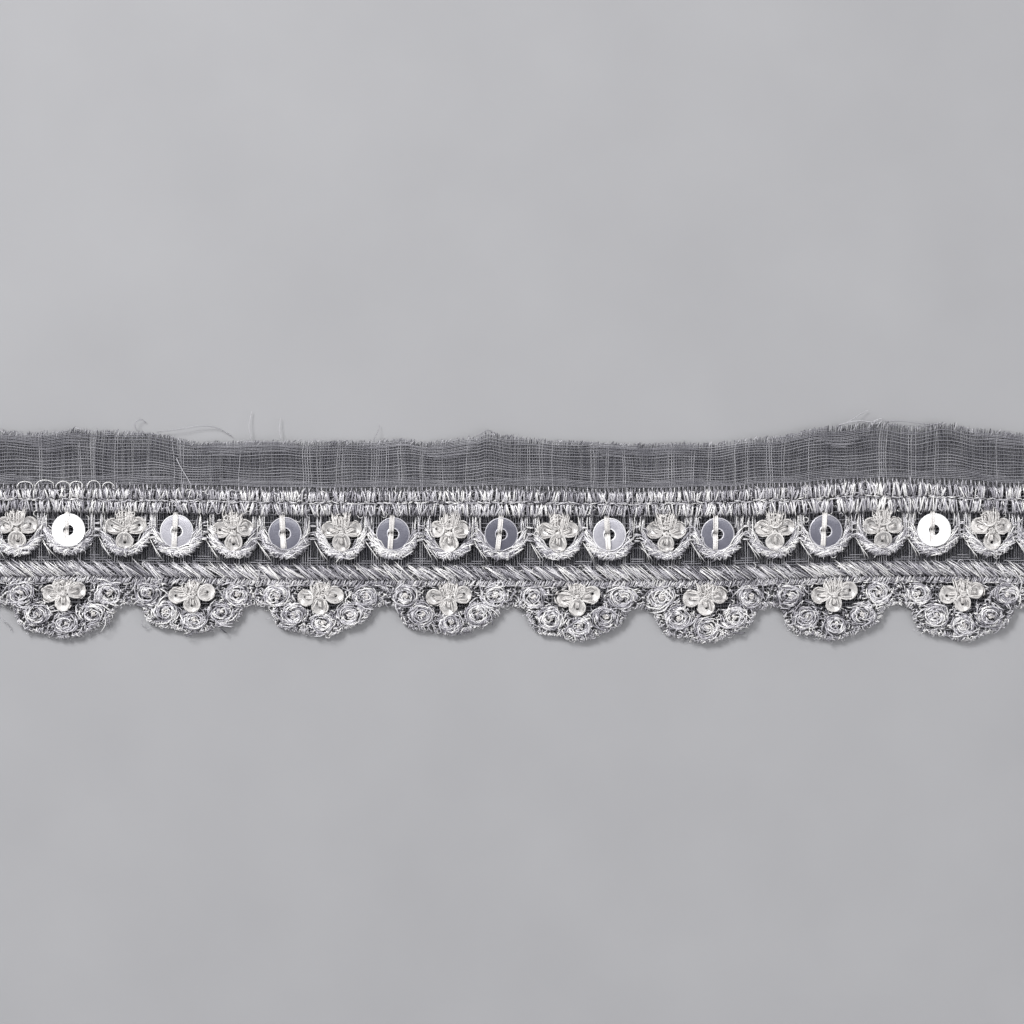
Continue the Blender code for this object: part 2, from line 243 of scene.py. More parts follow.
def arched(start, end, foot, crest, bow=0.0, kind=shortStitch):
    # A stitch comes up through the net, lies over it and goes down again
    shares, rises = kind
    start, end = np.asarray(start, float), np.asarray(end, float)
    run = end - start
    length = np.linalg.norm(run, axis=1)
    aside = np.stack([-run[:, 1], run[:, 0]], 1) / np.maximum(length, 0.01)[:, None]
    swing = np.broadcast_to(bow, length.shape)
    paths = np.empty((len(start), len(shares), 3))
    bend = 4 * shares * (1 - shares)
    paths[..., :2] = start[:, None] + shares[:, None] * run[:, None]
    paths[..., :2] += bend[:, None] * (aside * swing[:, None])[:, None]
    foot = np.broadcast_to(foot, length.shape)
    crest = np.broadcast_to(crest, length.shape)
    paths[..., 2] = foot[:, None] + rises * (crest - foot)[:, None]
    return paths


def tubes(paths, radius, tone, sides=3, flat=0.8, ends=0.45):
    count, points = paths.shape[:2]
    along = np.gradient(paths, axis=1)
    along /= np.maximum(np.linalg.norm(along, axis=2, keepdims=True), 1e-9)
    side = np.cross(along, (0, 0, 1.0))
    level = np.linalg.norm(side, axis=2, keepdims=True)
    side = np.where(level > 0.05, side / np.maximum(level, 1e-9), (1.0, 0, 0))
    above = np.cross(side, along)
    turn = np.pi / 2 + 2 * np.pi * np.arange(sides) / sides
    ring = np.cos(turn)[:, None] * side[:, :, None] + flat * np.sin(turn)[:, None] * above[:, :, None]
    thick = np.repeat(np.broadcast_to(radius, (count,))[:, None], points, axis=1)
    thick[:, [0, -1]] *= ends
    corners = paths[:, :, None] + thick[:, :, None, None] * ring
    return {
        "corners": corners,
        "tone": np.broadcast_to(tone, (count,)),
        "reach": np.cumsum(np.linalg.norm(np.diff(paths, axis=1, prepend=paths[:, :1]), axis=2), axis=1),
    }


def stitches(start, end, foot, crest, bow, radius, tone):
    return tubes(onTrim(arched(start, end, foot, crest, bow)), radius, tone)


def threadMesh(name, batches, material):
    places, tones, corners, sizes, maps = [], [], [], [], []
    placed = 0
    for batch in batches:
        count, points, sides = batch["corners"].shape[:3]
        places.append(batch["corners"].reshape(-1, 3))
        tones.append(np.repeat(batch["tone"], points * sides))
        index = placed + np.arange(count * points * sides).reshape(count, points, sides)
        following = np.roll(index, -1, axis=2)
        walls = np.stack([index[:, :-1], index[:, 1:], following[:, 1:], following[:, :-1]], -1)
        caps = np.concatenate([index[:, 0], index[:, -1, ::-1]])
        corners += [walls.reshape(-1), caps.reshape(-1)]
        sizes += [np.full(walls.size // 4, 4), np.full(len(caps), sides)]
        reach = np.repeat(batch["reach"][:, :, None], sides, axis=2)
        turn = np.broadcast_to(np.arange(sides) / sides, reach.shape)
        near = np.stack([reach[:, :-1], reach[:, 1:], reach[:, 1:], reach[:, :-1]], -1)
        around = np.stack([turn[:, :-1], turn[:, 1:], turn[:, 1:], turn[:, :-1]], -1).copy()
        around[..., 2:] += 1 / sides
        maps += [np.stack([near, around], -1).reshape(-1, 2), np.zeros((caps.size, 2))]
        placed += count * points * sides
    places, corners, sizes = np.concatenate(places), np.concatenate(corners), np.concatenate(sizes)
    data = bpy.data.meshes.new(name)
    data.vertices.add(len(places))
    data.vertices.foreach_set("co", (places * mm).astype(np.float32).ravel())
    data.loops.add(len(corners))
    data.loops.foreach_set("vertex_index", corners.astype(np.int32))
    data.polygons.add(len(sizes))
    data.polygons.foreach_set("loop_start", (np.cumsum(sizes) - sizes).astype(np.int32))
    data.polygons.foreach_set("use_smooth", np.ones(len(sizes), bool))
    data.update(calc_edges=True)
    uv = data.uv_layers.new(name="thread")
    uv.data.foreach_set("uv", np.concatenate(maps).astype(np.float32).ravel())
    tone = data.attributes.new("tone", "FLOAT", "POINT")
    tone.data.foreach_set("value", np.concatenate(tones).astype(np.float32))
    data.materials.append(material)
    piece = bpy.data.objects.new(name, data)
    bpy.context.scene.collection.objects.link(piece)
    print(name, "triangles:", int((sizes - 2).sum()))
    return piece


# Materials

def socket(group, name, way, value=None):
    made = group.interface.new_socket(name=name, in_out=way, socket_type="NodeSocketFloat")
    if value is not None:
        made.default_value = value


def addNode(tree, kind, inputs, operation=None):
    # A shader node with its inputs set or linked, by name or by number
    node = tree.nodes.new("ShaderNode" + kind)
    if operation:
        node.operation = operation
    for place, value in inputs.items():
        if isinstance(value, bpy.types.NodeSocket):
            tree.links.new(value, node.inputs[place])
        else:
            node.inputs[place].default_value = value
    return node


def mathNode(tree, operation, *values):
    return addNode(tree, "Math", dict(enumerate(values)), operation).outputs[0]


def noise(tree, vector, scale, detail):
    return addNode(tree, "TexNoise", {"Vector": vector, "Scale": scale, "Detail": detail}).outputs["Fac"]


def objectPlace(tree):
    return addNode(tree, "TexCoord", {}).outputs["Object"]


def ramp(tree, value, stops):
    made = addNode(tree, "ValToRGB", {"Fac": value})
    while len(made.color_ramp.elements) < len(stops):
        made.color_ramp.elements.new(0.5)
    for element, (place, colour) in zip(made.color_ramp.elements, stops):
        element.position = place
        element.color = (*colour, 1)
    return made.outputs["Color"]


def toneOf(tree):
    node = addNode(tree, "Attribute", {})
    node.attribute_name = "tone"
    return node.outputs["Fac"]


def newMaterial(name):
    material = bpy.data.materials.new(name)
    material.use_nodes = True
    return material, material.node_tree, material.node_tree.nodes["Principled BSDF"]


def finishWith(tree, shader, finish, shade, glossFrom, glossRange, height, distance):
    # Colour from the tone, roughness between two values and a low relief
    tree.links.new(ramp(tree, shade, finish["colours"]), shader.inputs["Base Color"])
    low, high = finish["roughness"]
    gloss = addNode(tree, "MapRange", {
        "Value": glossFrom,
        "From Min": glossRange[0],
        "From Max": glossRange[1],
        "To Min": low,
        "To Max": high,
    })
    tree.links.new(gloss.outputs[0], shader.inputs["Roughness"])
    bump = addNode(tree, "Bump", {"Height": height, "Strength": finish["relief"], "Distance": distance})
    tree.links.new(bump.outputs["Normal"], shader.inputs["Normal"])


def twistGroup():
    # Ply twist along a thread's own map, with the fibre's unevenness from its place
    group = bpy.data.node_groups.new("ply twist", "ShaderNodeTree")
    socket(group, "Pitch", "INPUT", 3.0)
    socket(group, "Unevenness", "INPUT", 0.3)
    socket(group, "Height", "OUTPUT")
    socket(group, "Variation", "OUTPUT")
    entry = group.nodes.new("NodeGroupInput")
    leave = group.nodes.new("NodeGroupOutput")
    threadMap = addNode(group, "UVMap", {})
    threadMap.uv_map = "thread"
    split = addNode(group, "SeparateXYZ", {0: threadMap.outputs["UV"]})
    turns = mathNode(group, "MULTIPLY", split.outputs["X"], entry.outputs["Pitch"])
    phase = mathNode(group, "ADD", turns, split.outputs["Y"])
    wave = mathNode(group, "SINE", mathNode(group, "MULTIPLY", phase, 2 * math.pi))
    place = objectPlace(group)
    fibre = noise(group, place, 1800, 3)
    patch = noise(group, place, 260, 2)
    uneven = mathNode(group, "MULTIPLY", fibre, entry.outputs["Unevenness"])
    group.links.new(mathNode(group, "ADD", wave, uneven), leave.inputs["Height"])
    group.links.new(patch, leave.inputs["Variation"])
    return group


plyTwist = twistGroup()
threadRelief = 0.00002     # metres


def threadMaterial(name, finish):
    material, tree, shader = newMaterial(name)
    shader.inputs["Metallic"].default_value = finish["metallic"]
    shader.inputs["Specular IOR Level"].default_value = finish["specular"]
    twist = tree.nodes.new("ShaderNodeGroup")
    twist.node_tree = plyTwist
    twist.inputs["Pitch"].default_value = finish["twist"]
    twist.inputs["Unevenness"].default_value = finish["unevenness"]
    variation = twist.outputs["Variation"]
    shade = mathNode(tree, "MULTIPLY_ADD", variation, finish["patchiness"], toneOf(tree))
    finishWith(tree, shader, finish, shade, variation, (0, 1), twist.outputs["Height"], threadRelief)
    return material


silverFinish = {
    "colours": [
        (0.0, (0.075, 0.073, 0.088)),
        (0.45, (0.33, 0.32, 0.355)),
        (0.8, (0.65, 0.64, 0.665)),
        (1.0, (0.82, 0.81, 0.80)),
    ],
    "metallic": 0.2,
    "specular": 0.7,
    "roughness": (0.28, 0.48),
    "twist": 3.2,
    "unevenness": 0.5,
    "patchiness": 0.25,
    "relief": 0.5,
}
netFinish = {
    "colours": [
        (0.0, (0.012, 0.012, 0.015)),
        (0.2, (0.046, 0.046, 0.056)),
        (0.55, (0.17, 0.168, 0.19)),
        (1.0, (0.50, 0.495, 0.52)),
    ],
    "metallic": 0.0,
    "specular": 0.15,
    "roughness": (0.4, 0.6),
    "twist": 2.0,
    "unevenness": 0.6,
    "patchiness": 0.3,
    "relief": 0.4,
}
creamFinish = {
    "colours": [
        (0.0, (0.34, 0.32, 0.315)),
        (0.5, (0.62, 0.60, 0.585)),
        (1.0, (0.84, 0.82, 0.80)),
    ],
    "metallic": 0.0,
    "specular": 0.5,
    "roughness": (0.4, 0.6),
    "twist": 2.6,
    "unevenness": 0.4,
    "patchiness": 0.25,
    "relief": 0.5,
}
silverThread = threadMaterial("silver stitching thread", silverFinish)
netThread = threadMaterial("grey net thread", netFinish)
creamThread = threadMaterial("cream sewing thread", creamFinish)


# The net

net = {
    "warpPitch": 0.37,
    "warpRadius": 0.036,
    "groups": 70,
    "closePitch": 0.25,
    "closeRadius": 0.085,
    "shadeWarpPitch": 0.27,
    "weftPitch": 0.44,
    "lowPitch": 0.6,
    "patchPitch": 0.36,
    "weftRadius": 0.078,
    "pull": 0.6,
    "holeRows": [(6.4, 7.2), (2.0, 2.75)],
    "bareStretches": [(51.5, 57.0, 0.5), (58.5, 66.0, 0.6), (-3.0, -1.5, 0.5), (-66.0, -62.0, 0.5)],
}


def netSway(x, v):
    # Slack wefts hang in shallow waves between the tighter groups of warps
    slack = 0.13 * np.sin(x * 0.62 + 0.35 * v) + 0.09 * np.sin(x * 0.23 - 0.2 * v + 1.0)
    return slack + 0.12 * np.sin(x * 0.11 + v * 0.9) + 0.04 * np.sin(x * 1.3 + v * 2.1)


def feltedDepth(x):
    # How far down from the cut edge the wefts are pushed close together
    return 1.3 + 1.1 * np.sin(x * 0.21 - 2.6) + 0.6 * np.sin(x * 0.53)


def pulled(x, v):
    pitch = trim["needlePitch"]
    nearest = (np.floor(x / pitch) + 0.5) * pitch
    strength = np.zeros_like(x)
    for low, high in net["holeRows"]:
        middle, half = (low + high) / 2, (high - low) / 2
        strength = np.maximum(strength, smooth(1.6 - np.abs(v - middle) / half))
    return x + net["pull"] * strength * (nearest - x)


def warpsBetween(random, pitch, low, high, stations, lift):
    count = int(trim["length"] / pitch)
    x = np.linspace(-halfLength + 0.1, halfLength - 0.1, count) + random.normal(0, 0.03, count)
    bottom = np.maximum(edgeBelow(x) + 0.3, low)
    top = high + random.normal(0, 0.14, count)
    v = bottom[:, None] + np.array(stations) * (top - bottom)[:, None]
    sway = 0.10 * np.sin(x * 0.9)[:, None] * np.sin(v * 0.55) + 0.06 * np.sin(x[:, None] * 0.37 + v * 0.8)
    across = pulled(np.repeat(x[:, None], v.shape[1], 1), v) + sway
    lean = smooth((v - 13.6) / 0.9) * random.normal(0.12, 0.10, count)[:, None]
    return x, np.stack([across + lean, v, netLevel(across, v) + lift], -1)


def warps(random):
    # Fine pale warps, some of them bunched, over close dark warps that are partly the net's dark grey thread
    # and partly painted shade in its gaps, and near-black warps under the stitching and the hole rows that
    # are painted shade
    stations = [0.0, 0.15, 0.3, 0.45, 0.6, 0.72, 0.75, 0.79, 0.86, 0.93, 1.0]
    x, paths = warpsBetween(random, net["warpPitch"], -16.5, trim["netTop"] + 0.12, stations, 0.05)
    middles = np.sort(random.uniform(-halfLength, halfLength, net["groups"]))
    bunched = np.abs(x[:, None] - middles).min(axis=1) < 0.3
    tone = np.where(bunched, 0.75, 0.42) + random.normal(0, 0.08, len(x))
    pale = tubes(onTrim(paths), net["warpRadius"] * np.where(bunched, 1.5, 1.0), tone)
    stations = [0.0, 0.2, 0.45, 0.7, 1.0]
    # Close dark warps in the free net: dark grey net thread, made darker as painted shade in the gaps between
    # the pale warps
    x, paths = warpsBetween(random, net["closePitch"], 7.12, trim["netTop"] + 0.02, stations, -0.04)
    radius = net["closeRadius"] * random.uniform(0.85, 1.15, len(x))
    close = tubes(onTrim(paths), radius, random.normal(0.06, 0.05, len(x)), flat=0.6)
    stations = [0.0, 0.25, 0.5, 0.75, 1.0]
    # Near-black warps under the stitching and the needle-hole rows: painted shade, dark thread put where the
    # gaps and holes would show shadow
    x, paths = warpsBetween(random, net["shadeWarpPitch"], -16.5, 7.3, stations, -0.14)
    radius = random.uniform(0.09, 0.12, len(x))
    paintedShadeWarps = tubes(onTrim(paths), radius, random.normal(-0.12, 0.04, len(x)), flat=0.6)
    return [pale, close, paintedShadeWarps]


def runsInside(inside):
    # (first, last) of each stretch of True
    marks = np.diff(np.concatenate([[False], inside, [False]]).astype(int))
    return list(zip(np.flatnonzero(marks == 1), np.flatnonzero(marks == -1) - 1))


def weftRows(random):
    # Height of each weft, and whether it lies only where the net is felted
    v = trim["netTop"] - 0.15
    while v > -16.5:
        yield v, False
        inNet = v > trim["needleLine"]
        if inNet:
            yield v - net["weftPitch"] / 2, True
        pitch = net["patchPitch"] if -4.6 < v < -2.6 else net["lowPitch"]
        v -= (net["weftPitch"] if inNet else pitch) * random.uniform(0.93, 1.07)


def wefts(random):
    batches = {200: [], 14: []}
    x = np.linspace(-halfLength - 0.1, halfLength + 0.1, 200)
    for v, felted in weftRows(random):
        row = v + netSway(x, v) * smooth(1.3 - abs(v - 10.8) / 4.5) + random.normal(0, 0.02)
        inside = row > edgeBelow(x) + 0.3
        ragged = 0.55 * np.sin(x * 1.1 + 3) + 0.5 * np.sin(x * 0.37) + 0.35 * np.sin(x * 2.9 + v)
        inside &= (trim["netTop"] - v) * 1.8 > ragged
        if felted:
            inside &= (trim["netTop"] - v < feltedDepth(x)) | (v < 8.3 + 0.5 * np.sin(x * 0.3))
        if any(low < v < high for low, high in net["holeRows"]):
            inside[:] = False
        for first, last, depth in net["bareStretches"]:
            if trim["netTop"] - depth < v < trim["netTop"] - 0.25:
                inside &= (x < first) | (x > last)
        ring = cupDistance(x, np.full_like(x, v))
        inside &= ~((ring > 4.05) & (ring < 4.75) & (v < 0.8))
        for first, last in runsInside(inside):
            if last - first < 2:
                continue
            count = 200 if last - first > 50 else 14
            kept = np.linspace(first, last, count)
            px = np.interp(kept, np.arange(len(x)), x)
            pv = np.interp(kept, np.arange(len(x)), row)
            px[0] += random.uniform(-0.3, 0.4)
            px[-1] += random.uniform(-0.4, 0.3)
            level = netLevel(px, pv) + 0.12 + 0.05 * np.sin(px * 5.3 + v * 9)
            batches[count].append(np.stack([px, pv, level], -1))
    made = []
    for paths in batches.values():
        tone = random.normal(0.53, 0.05, len(paths))
        radius = net["weftRadius"] * random.uniform(0.8, 1.1, len(paths))
        made.append(tubes(onTrim(np.array(paths)), radius, tone, flat=0.7))
    return made


def buildNet():
    random = np.random.default_rng(11)
    return threadMesh("net", [*warps(random), *wefts(random)], netThread)


netPiece = buildNet()

# The stitched heading: two rows of upright stitches with a line of long stitches between them

heading = {
    "perNeedle": 5,
    "foot": 0.65,
    "postTop": 7.2,
    "postFoot": (5.9, 6.4),
    "underlayRows": (3.1, 6.3),
    "chainDrop": 0.3,
    "crest": (1.1, 1.7),
    "radius": (0.09, 0.165),
    "underlay": 1700,
    "chainStep": 0.95,
}


def patchyTone(random, x, v, spread=0.22):
    # Brightness drifts along the trim, with a random share for each thread
    drift = 0.12 * np.sin(x * 0.21 + v * 0.4) + 0.08 * np.sin(x * 1.7 + v)
    return 0.52 + drift + random.normal(0, spread, len(x))


def spread(random, span, count):
    return random.uniform(span[0], span[1], count)


def needleRow(random, topLine, footLine, fan):
    slots = np.arange(-halfLength + 0.35, halfLength - 0.35, trim["needlePitch"])
    slots = np.repeat(slots, heading["perNeedle"])
    count = len(slots)
    gather = np.repeat(random.uniform(-1, 1, count // heading["perNeedle"]), heading["perNeedle"])
    gather += 0.8 * np.sin(slots * 1.9) * np.sin(slots * 0.53)
    lift = np.repeat(random.normal(0, 0.14, count // heading["perNeedle"]), heading["perNeedle"])
    topAlong = slots + random.normal(0, 0.10, count)
    top = np.stack([topAlong, topLine + lift + random.normal(0, 0.09, count)], 1)
    away = fan * random.uniform(-1, 1, count) + 0.4 * gather
    foot = np.stack([slots + away, footLine + random.normal(0, 0.12, count)], 1)
    crest = spread(random, heading["crest"], count)
    bow = random.normal(0, 0.18, count)
    # Threads that stand higher get a lighter tone and lower ones a darker one: painted light and shade on top
    # of the random tone
    tone = patchyTone(random, slots, top[:, 1], 0.27) + 0.3 * (crest - 1.4)
    return stitches(top, foot, heading["foot"], crest, bow, spread(random, heading["radius"], count), tone)


def needlePosts(random):
    # Threads that hold the net's warps together between the needle holes
    slots = np.arange(-halfLength + 0.35, halfLength - 0.35, trim["needlePitch"])
    nearest = (np.floor(slots / trim["needlePitch"]) + 0.5) * trim["needlePitch"]
    x = np.repeat(nearest, 2) + random.normal(0, 0.04, 2 * len(nearest))
    count = len(x)
    a = np.stack([x, heading["postTop"] + random.normal(0, 0.15, count)], 1)
    b = np.stack([x + random.normal(0, 0.06, count), spread(random, heading["postFoot"], count)], 1)
    crest = 1.0 + random.normal(0, 0.07, count)
    bow = random.normal(0, 0.03, count)
    radius = random.uniform(0.07, 0.10, count)
    return stitches(a, b, 0.75, crest, bow, radius, random.normal(0.36, 0.16, count))


def headingUnderlay(random):
    count = heading["underlay"]
    x = random.uniform(-halfLength + 0.6, halfLength - 0.6, count)
    start = np.stack([x, spread(random, heading["underlayRows"], count)], 1)
    angle = random.uniform(0, math.pi, count)
    reach = random.uniform(0.4, 0.9, count)
    end = start + np.stack([np.cos(angle) * reach, np.sin(angle) * reach * 0.6], 1)
    end[:, 0] = np.clip(end[:, 0], -halfLength + 0.1, halfLength - 0.1)
    crest = random.uniform(1.0, 1.5, count)
    bow = random.normal(0, 0.2, count)
    radius = random.uniform(0.06, 0.10, count)
    return stitches(start, end, 0.75, crest, bow, radius, random.normal(0.5, 0.2, count))


def chainLine(random, v, strands, rise):
    made = []
    for strand in range(strands):
        x = np.arange(-halfLength + 0.4, halfLength - 2.0, heading["chainStep"]) + random.uniform(0, 1)
        x = x[random.uniform(0, 1, len(x)) > 0.35]
        jog = random.normal(0, 0.13, len(x) + 1)
        ends = x + heading["chainStep"] * random.uniform(0.8, 1.5, len(x))
        start = np.stack([x, v + jog[:-1]], 1)
        end = np.stack([np.minimum(ends, halfLength - 0.1), v + jog[1:]], 1)
        crest = rise + random.normal(0, 0.07, len(x))
        bow = random.normal(0, 0.14, len(x))
        radius = random.uniform(0.06, 0.10, len(x))
        made.append(stitches(start, end, rise - 0.5, crest, bow, radius, random.normal(0.62, 0.2, len(x))))
    return made


def buildHeading():
    random = np.random.default_rng(21)
    batches = [
        headingUnderlay(random),
        needleRow(random, trim["needleLine"], trim["headingMiddle"] - 0.35, 0.65),
        needleRow(random, trim["headingMiddle"] - 0.2, trim["headingFoot"] - 0.35, 0.85),
        needlePosts(random),
        *chainLine(random, trim["headingMiddle"] - heading["chainDrop"], 3, 1.52),
    ]
    return threadMesh("headingStitches", batches, silverThread)


headingPiece = buildHeading()

# The cups: long threads that swing round each item, over shorter stitches across the band

cups = {
    "swing": 96,
    "acrossBand": 66,
    "sides": 9,
    "ties": [1.15, 0.05, -0.85],
    "crest": (1.15, 1.7),
    "foot": 0.65,
    "radius": (0.075, 0.13),
}


def polar(centre, radius, degrees):
    angle = np.radians(degrees)
    return np.stack([centre + radius * np.cos(angle), radius * np.sin(angle)], -1)


def cupStitches(random, centre):
    batches = []
    inner, outer = trim["cupInner"], trim["cupOuter"]
    # Threads that run round the band, from its outer edge in to its inner one
    for side, count in ((-1, cups["swing"]), (1, cups["swing"] * 2 // 3)):
        begin = random.uniform(-18, 80, count)
        finish = np.minimum(begin + random.uniform(18, 66, count), random.normal(98, 10, count))
        outAt, inAt = 180 + begin, 180 + finish
        if side > 0:
            outAt, inAt = 360 - begin, 360 - finish
        a = polar(centre, outer + random.normal(-0.2, 0.22, count), outAt)
        b = polar(centre, inner + np.abs(random.normal(0.1, 0.42, count)), inAt)
        bow = side * random.normal(0.22, 0.2, count)
        crest = spread(random, cups["crest"], count)
        paths = arched(a, b, cups["foot"], crest, -bow, longStitch)
        # Higher threads get a lighter tone and lower ones a darker one: painted light and shade on top of the
        # random tone
        tone = patchyTone(random, a[:, 0], a[:, 1], 0.26) + 0.8 * (crest - 1.42)
        batches.append(tubes(onTrim(paths), spread(random, cups["radius"], count), tone))
    # Short stitches across the band, gathered into the needle holes below it
    count = cups["acrossBand"]
    at = random.uniform(196, 344, count)
    gathered = np.round(at / 13) * 13 + random.normal(0, 2.0, count)
    a = polar(centre, inner + random.uniform(0.0, 0.75, count), at + random.normal(0, 12, count))
    b = polar(centre, outer + random.uniform(-0.25, 0.1, count), gathered)
    crest = random.uniform(1.3, 1.75, count)
    paths = arched(a, b, cups["foot"], crest, random.normal(0, 0.12, count))
    # Higher stitches get a lighter tone and lower ones a darker one: painted light and shade on top of the
    # random tone
    tone = patchyTone(random, a[:, 0], a[:, 1], 0.26) + 0.8 * (crest - 1.5)
    batches.append(tubes(onTrim(paths), random.uniform(0.07, 0.12, count), tone))
    # Near-upright threads from the heading down each side
    for side in (-1, 1):
        count = cups["sides"]
        x = centre + side * random.uniform(2.85, 4.0, count)
        a = np.stack([x, random.uniform(2.1, 3.1, count)], 1)
        b = np.stack([x - side * random.normal(0.05, 0.22, count), random.uniform(-1.9, 1.2, count)], 1)
        crest = random.uniform(1.1, 1.6, count)
        bow = side * random.normal(0.1, 0.08, count)
        radius = random.uniform(0.05, 0.085, count)
        batches.append(stitches(a, b, cups["foot"], crest, bow, radius, random.normal(0.75, 0.2, count)))
    # Two slack threads that slant over the lower left of the band
    start = np.stack([centre + np.array([-4.25, -3.95]), np.array([-0.9, -1.6])], 1)
    start += random.normal(0, 0.12, (2, 2))
    end = np.stack([centre + np.array([-2.5, -2.0]), np.array([-4.1, -4.3])], 1)
    end += random.normal(0, 0.15, (2, 2))
    bow = random.normal(0.1, 0.1, 2)
    batches.append(stitches(start, end, 0.8, np.array([1.75, 1.8]), bow, 0.085, np.array([0.95, 0.85])))
    return batches


def tiesBetween(random, middle):
    # Threads that cross from one cup to the next, with a needle hole between each two
    count = 4 * len(cups["ties"])
    v = np.repeat(cups["ties"], 4) + random.normal(0, 0.09, count)
    start = np.stack([middle - random.uniform(0.4, 0.8, count), v + random.normal(0, 0.12, count)], 1)
    end = np.stack([middle + random.uniform(0.4, 0.8, count), v + random.normal(0, 0.12, count)], 1)
    crest = random.uniform(1.25, 1.5, count)
    bow = random.normal(0, 0.06, count)
    radius = random.uniform(0.06, 0.10, count)
    return stitches(start, end, 0.8, crest, bow, radius, random.normal(0.65, 0.2, count))


def buildCups():
    random = np.random.default_rng(31)
    batches = []
    for centre, holdsSequin in cupPlaces:
        batches += cupStitches(random, centre)
    for (before, first), (after, second) in zip(cupPlaces, cupPlaces[1:]):
        batches.append(tiesBetween(random, (before + after) / 2))
    return threadMesh("cupStitches", batches, silverThread)


cupPiece = buildCups()

# The chevron band: long slanting bundles above, short stitches slanting back below

chevrons = {
    "bundlePitch": 1.9,
    "perBundle": 10,
    "slant": 3.0,
    "between": 9,
    "crest": (1.15, 1.75),
    "lowCrest": (1.0, 1.35),
    "radius": (0.06, 0.12),
    "backPitch": 0.13,
}


def buildChevrons():
    random = np.random.default_rng(41)
    top, fold, foot = trim["chevronTop"], trim["chevronFold"], trim["chevronFoot"]
    starts = np.arange(-halfLength - 0.6, halfLength - chevrons["slant"], chevrons["bundlePitch"])
    starts = starts + random.normal(0, 0.12, len(starts))
    batches = []
    upper = (0.0, chevrons["perBundle"], chevrons["crest"])
    lower = (0.5, chevrons["between"], chevrons["lowCrest"])
    for share, count, crest in (upper, lower):
        x = np.repeat(starts + share * chevrons["bundlePitch"], count)
        number = len(x)
        high = top - share * 0.9
        start = np.stack([x + random.normal(0, 0.3, number), high + random.normal(0, 0.25, number)], 1)
        reach = chevrons["slant"] * (1 - 0.3 * share) + random.uniform(-0.9, 0.9, number)
        end = np.stack([start[:, 0] + reach, fold + random.normal(-0.1, 0.25, number)], 1)
        start[:, 0] = np.maximum(start[:, 0], -halfLength + 0.1)
        end[:, 0] = np.clip(end[:, 0], -halfLength + 0.3, halfLength - 0.1)
        rise = spread(random, crest, number)
        paths = arched(start, end, 0.65, rise, random.normal(0.05, 0.07, number))
        # Higher threads get a lighter tone and lower ones a darker one: painted light and shade on top of the
        # random tone
        tone = patchyTone(random, x, start[:, 1], 0.26) + 0.6 * (rise - 1.4)
        batches.append(tubes(onTrim(paths), spread(random, chevrons["radius"], number), tone))
    x = np.arange(-halfLength + 1.0, halfLength - 0.2, chevrons["backPitch"])
    count = len(x)
    start = np.stack([x + random.normal(0, 0.1, count), fold + random.uniform(-0.1, 0.35, count)], 1)
    end = np.stack([x - random.uniform(0.35, 0.85, count), foot + random.normal(0.05, 0.1, count)], 1)
    crest = random.uniform(1.2, 1.6, count)
    bow = random.normal(0, 0.05, count)
    radius = random.uniform(0.07, 0.11, count)
    batches.append(stitches(start, end, 0.65, crest, bow, radius, patchyTone(random, x, end[:, 1])))
    batches += chainLine(random, foot + 0.2, 2, 1.5)
    return threadMesh("chevronStitches", batches, silverThread)


chevronPiece = buildChevrons()

# The scallops: wound rings, the filling between them, and the overcast edge

scallops = {
    "ringThreads": 76,
    "fill": 410,
    "edgePitch": 0.15,
    "foot": 0.65,
}


def ringStitches(random, along, across, size):
    count = scallops["ringThreads"]
    radius = (0.35 + 1.65 * np.sqrt(random.uniform(0.02, 1, count))) * size
    begin = random.uniform(0, 360, count)
    chord = random.uniform(0.8, 2.6, count)
    turn = np.degrees(np.minimum(chord / radius, 2.2)) * random.choice([-1, 1], count)
    shares = np.array([0.0, 0.15, 0.5, 0.85, 1.0])
    angle = np.radians(begin[:, None] + shares * turn[:, None])
    straying = np.where(random.uniform(0, 1, count) < 0.3, 0.85, 0.3)
    drift = radius[:, None] + shares * (straying * random.normal(0, 1, count))[:, None]
    crest = 1.25 + 0.4 * (1 - ((radius / size - 1.2) / 0.9) ** 2) + random.normal(0, 0.1, count)
    rises = np.array([0.0, 0.8, 1.0, 0.8, 0.0])
    z = scallops["foot"] + 0.1 + rises * (crest - scallops["foot"] - 0.1)[:, None]
    paths = np.stack([along + drift * np.cos(angle), across + 0.88 * drift * np.sin(angle), z], -1)
    # Higher threads get a lighter tone and lower ones a darker one: painted light and shade on top of the
    # random tone
    tone = patchyTone(random, paths[:, 0, 0], paths[:, 0, 1], 0.26) + 0.6 * (crest - 1.5)
    return tubes(onTrim(paths), random.uniform(0.08, 0.15, count), tone)


def scallopFill(random, centre):
    count = scallops["fill"] * 3
    x = centre + random.uniform(-9.7, 9.7, count)
    v = random.uniform(-16.5, trim["chevronFoot"], count)
    room = v - edgeBelow(x)
    window = np.hypot((x - centre) / 3.9, (v - trim["flowerLine"]) / 2.2)
    kept = (room > 0.25) & (window > 1) & (np.abs(x) < halfLength - 0.6)
    x, v = x[kept][: scallops["fill"]], v[kept][: scallops["fill"]]
    count = len(x)
    angle = random.uniform(0, 2 * math.pi, count)
    reach = random.uniform(0.4, 1.1, count)
    a = np.stack([x - np.cos(angle) * reach / 2, v - np.sin(angle) * reach / 2], 1)
    b = np.stack([x + np.cos(angle) * reach / 2, v + np.sin(angle) * reach / 2], 1)
    crest = random.uniform(1.1, 1.6, count)
    paths = arched(a, b, 0.75, crest, random.normal(0, 0.3, count))
    # A lighter thread overall, and higher threads lighter and lower ones darker: painted light and shade on
    # top of the random tone
    tone = patchyTone(random, x, v, 0.26) + 0.12 + 0.5 * (crest - 1.35)
    return tubes(onTrim(paths), random.uniform(0.075, 0.125, count), tone)


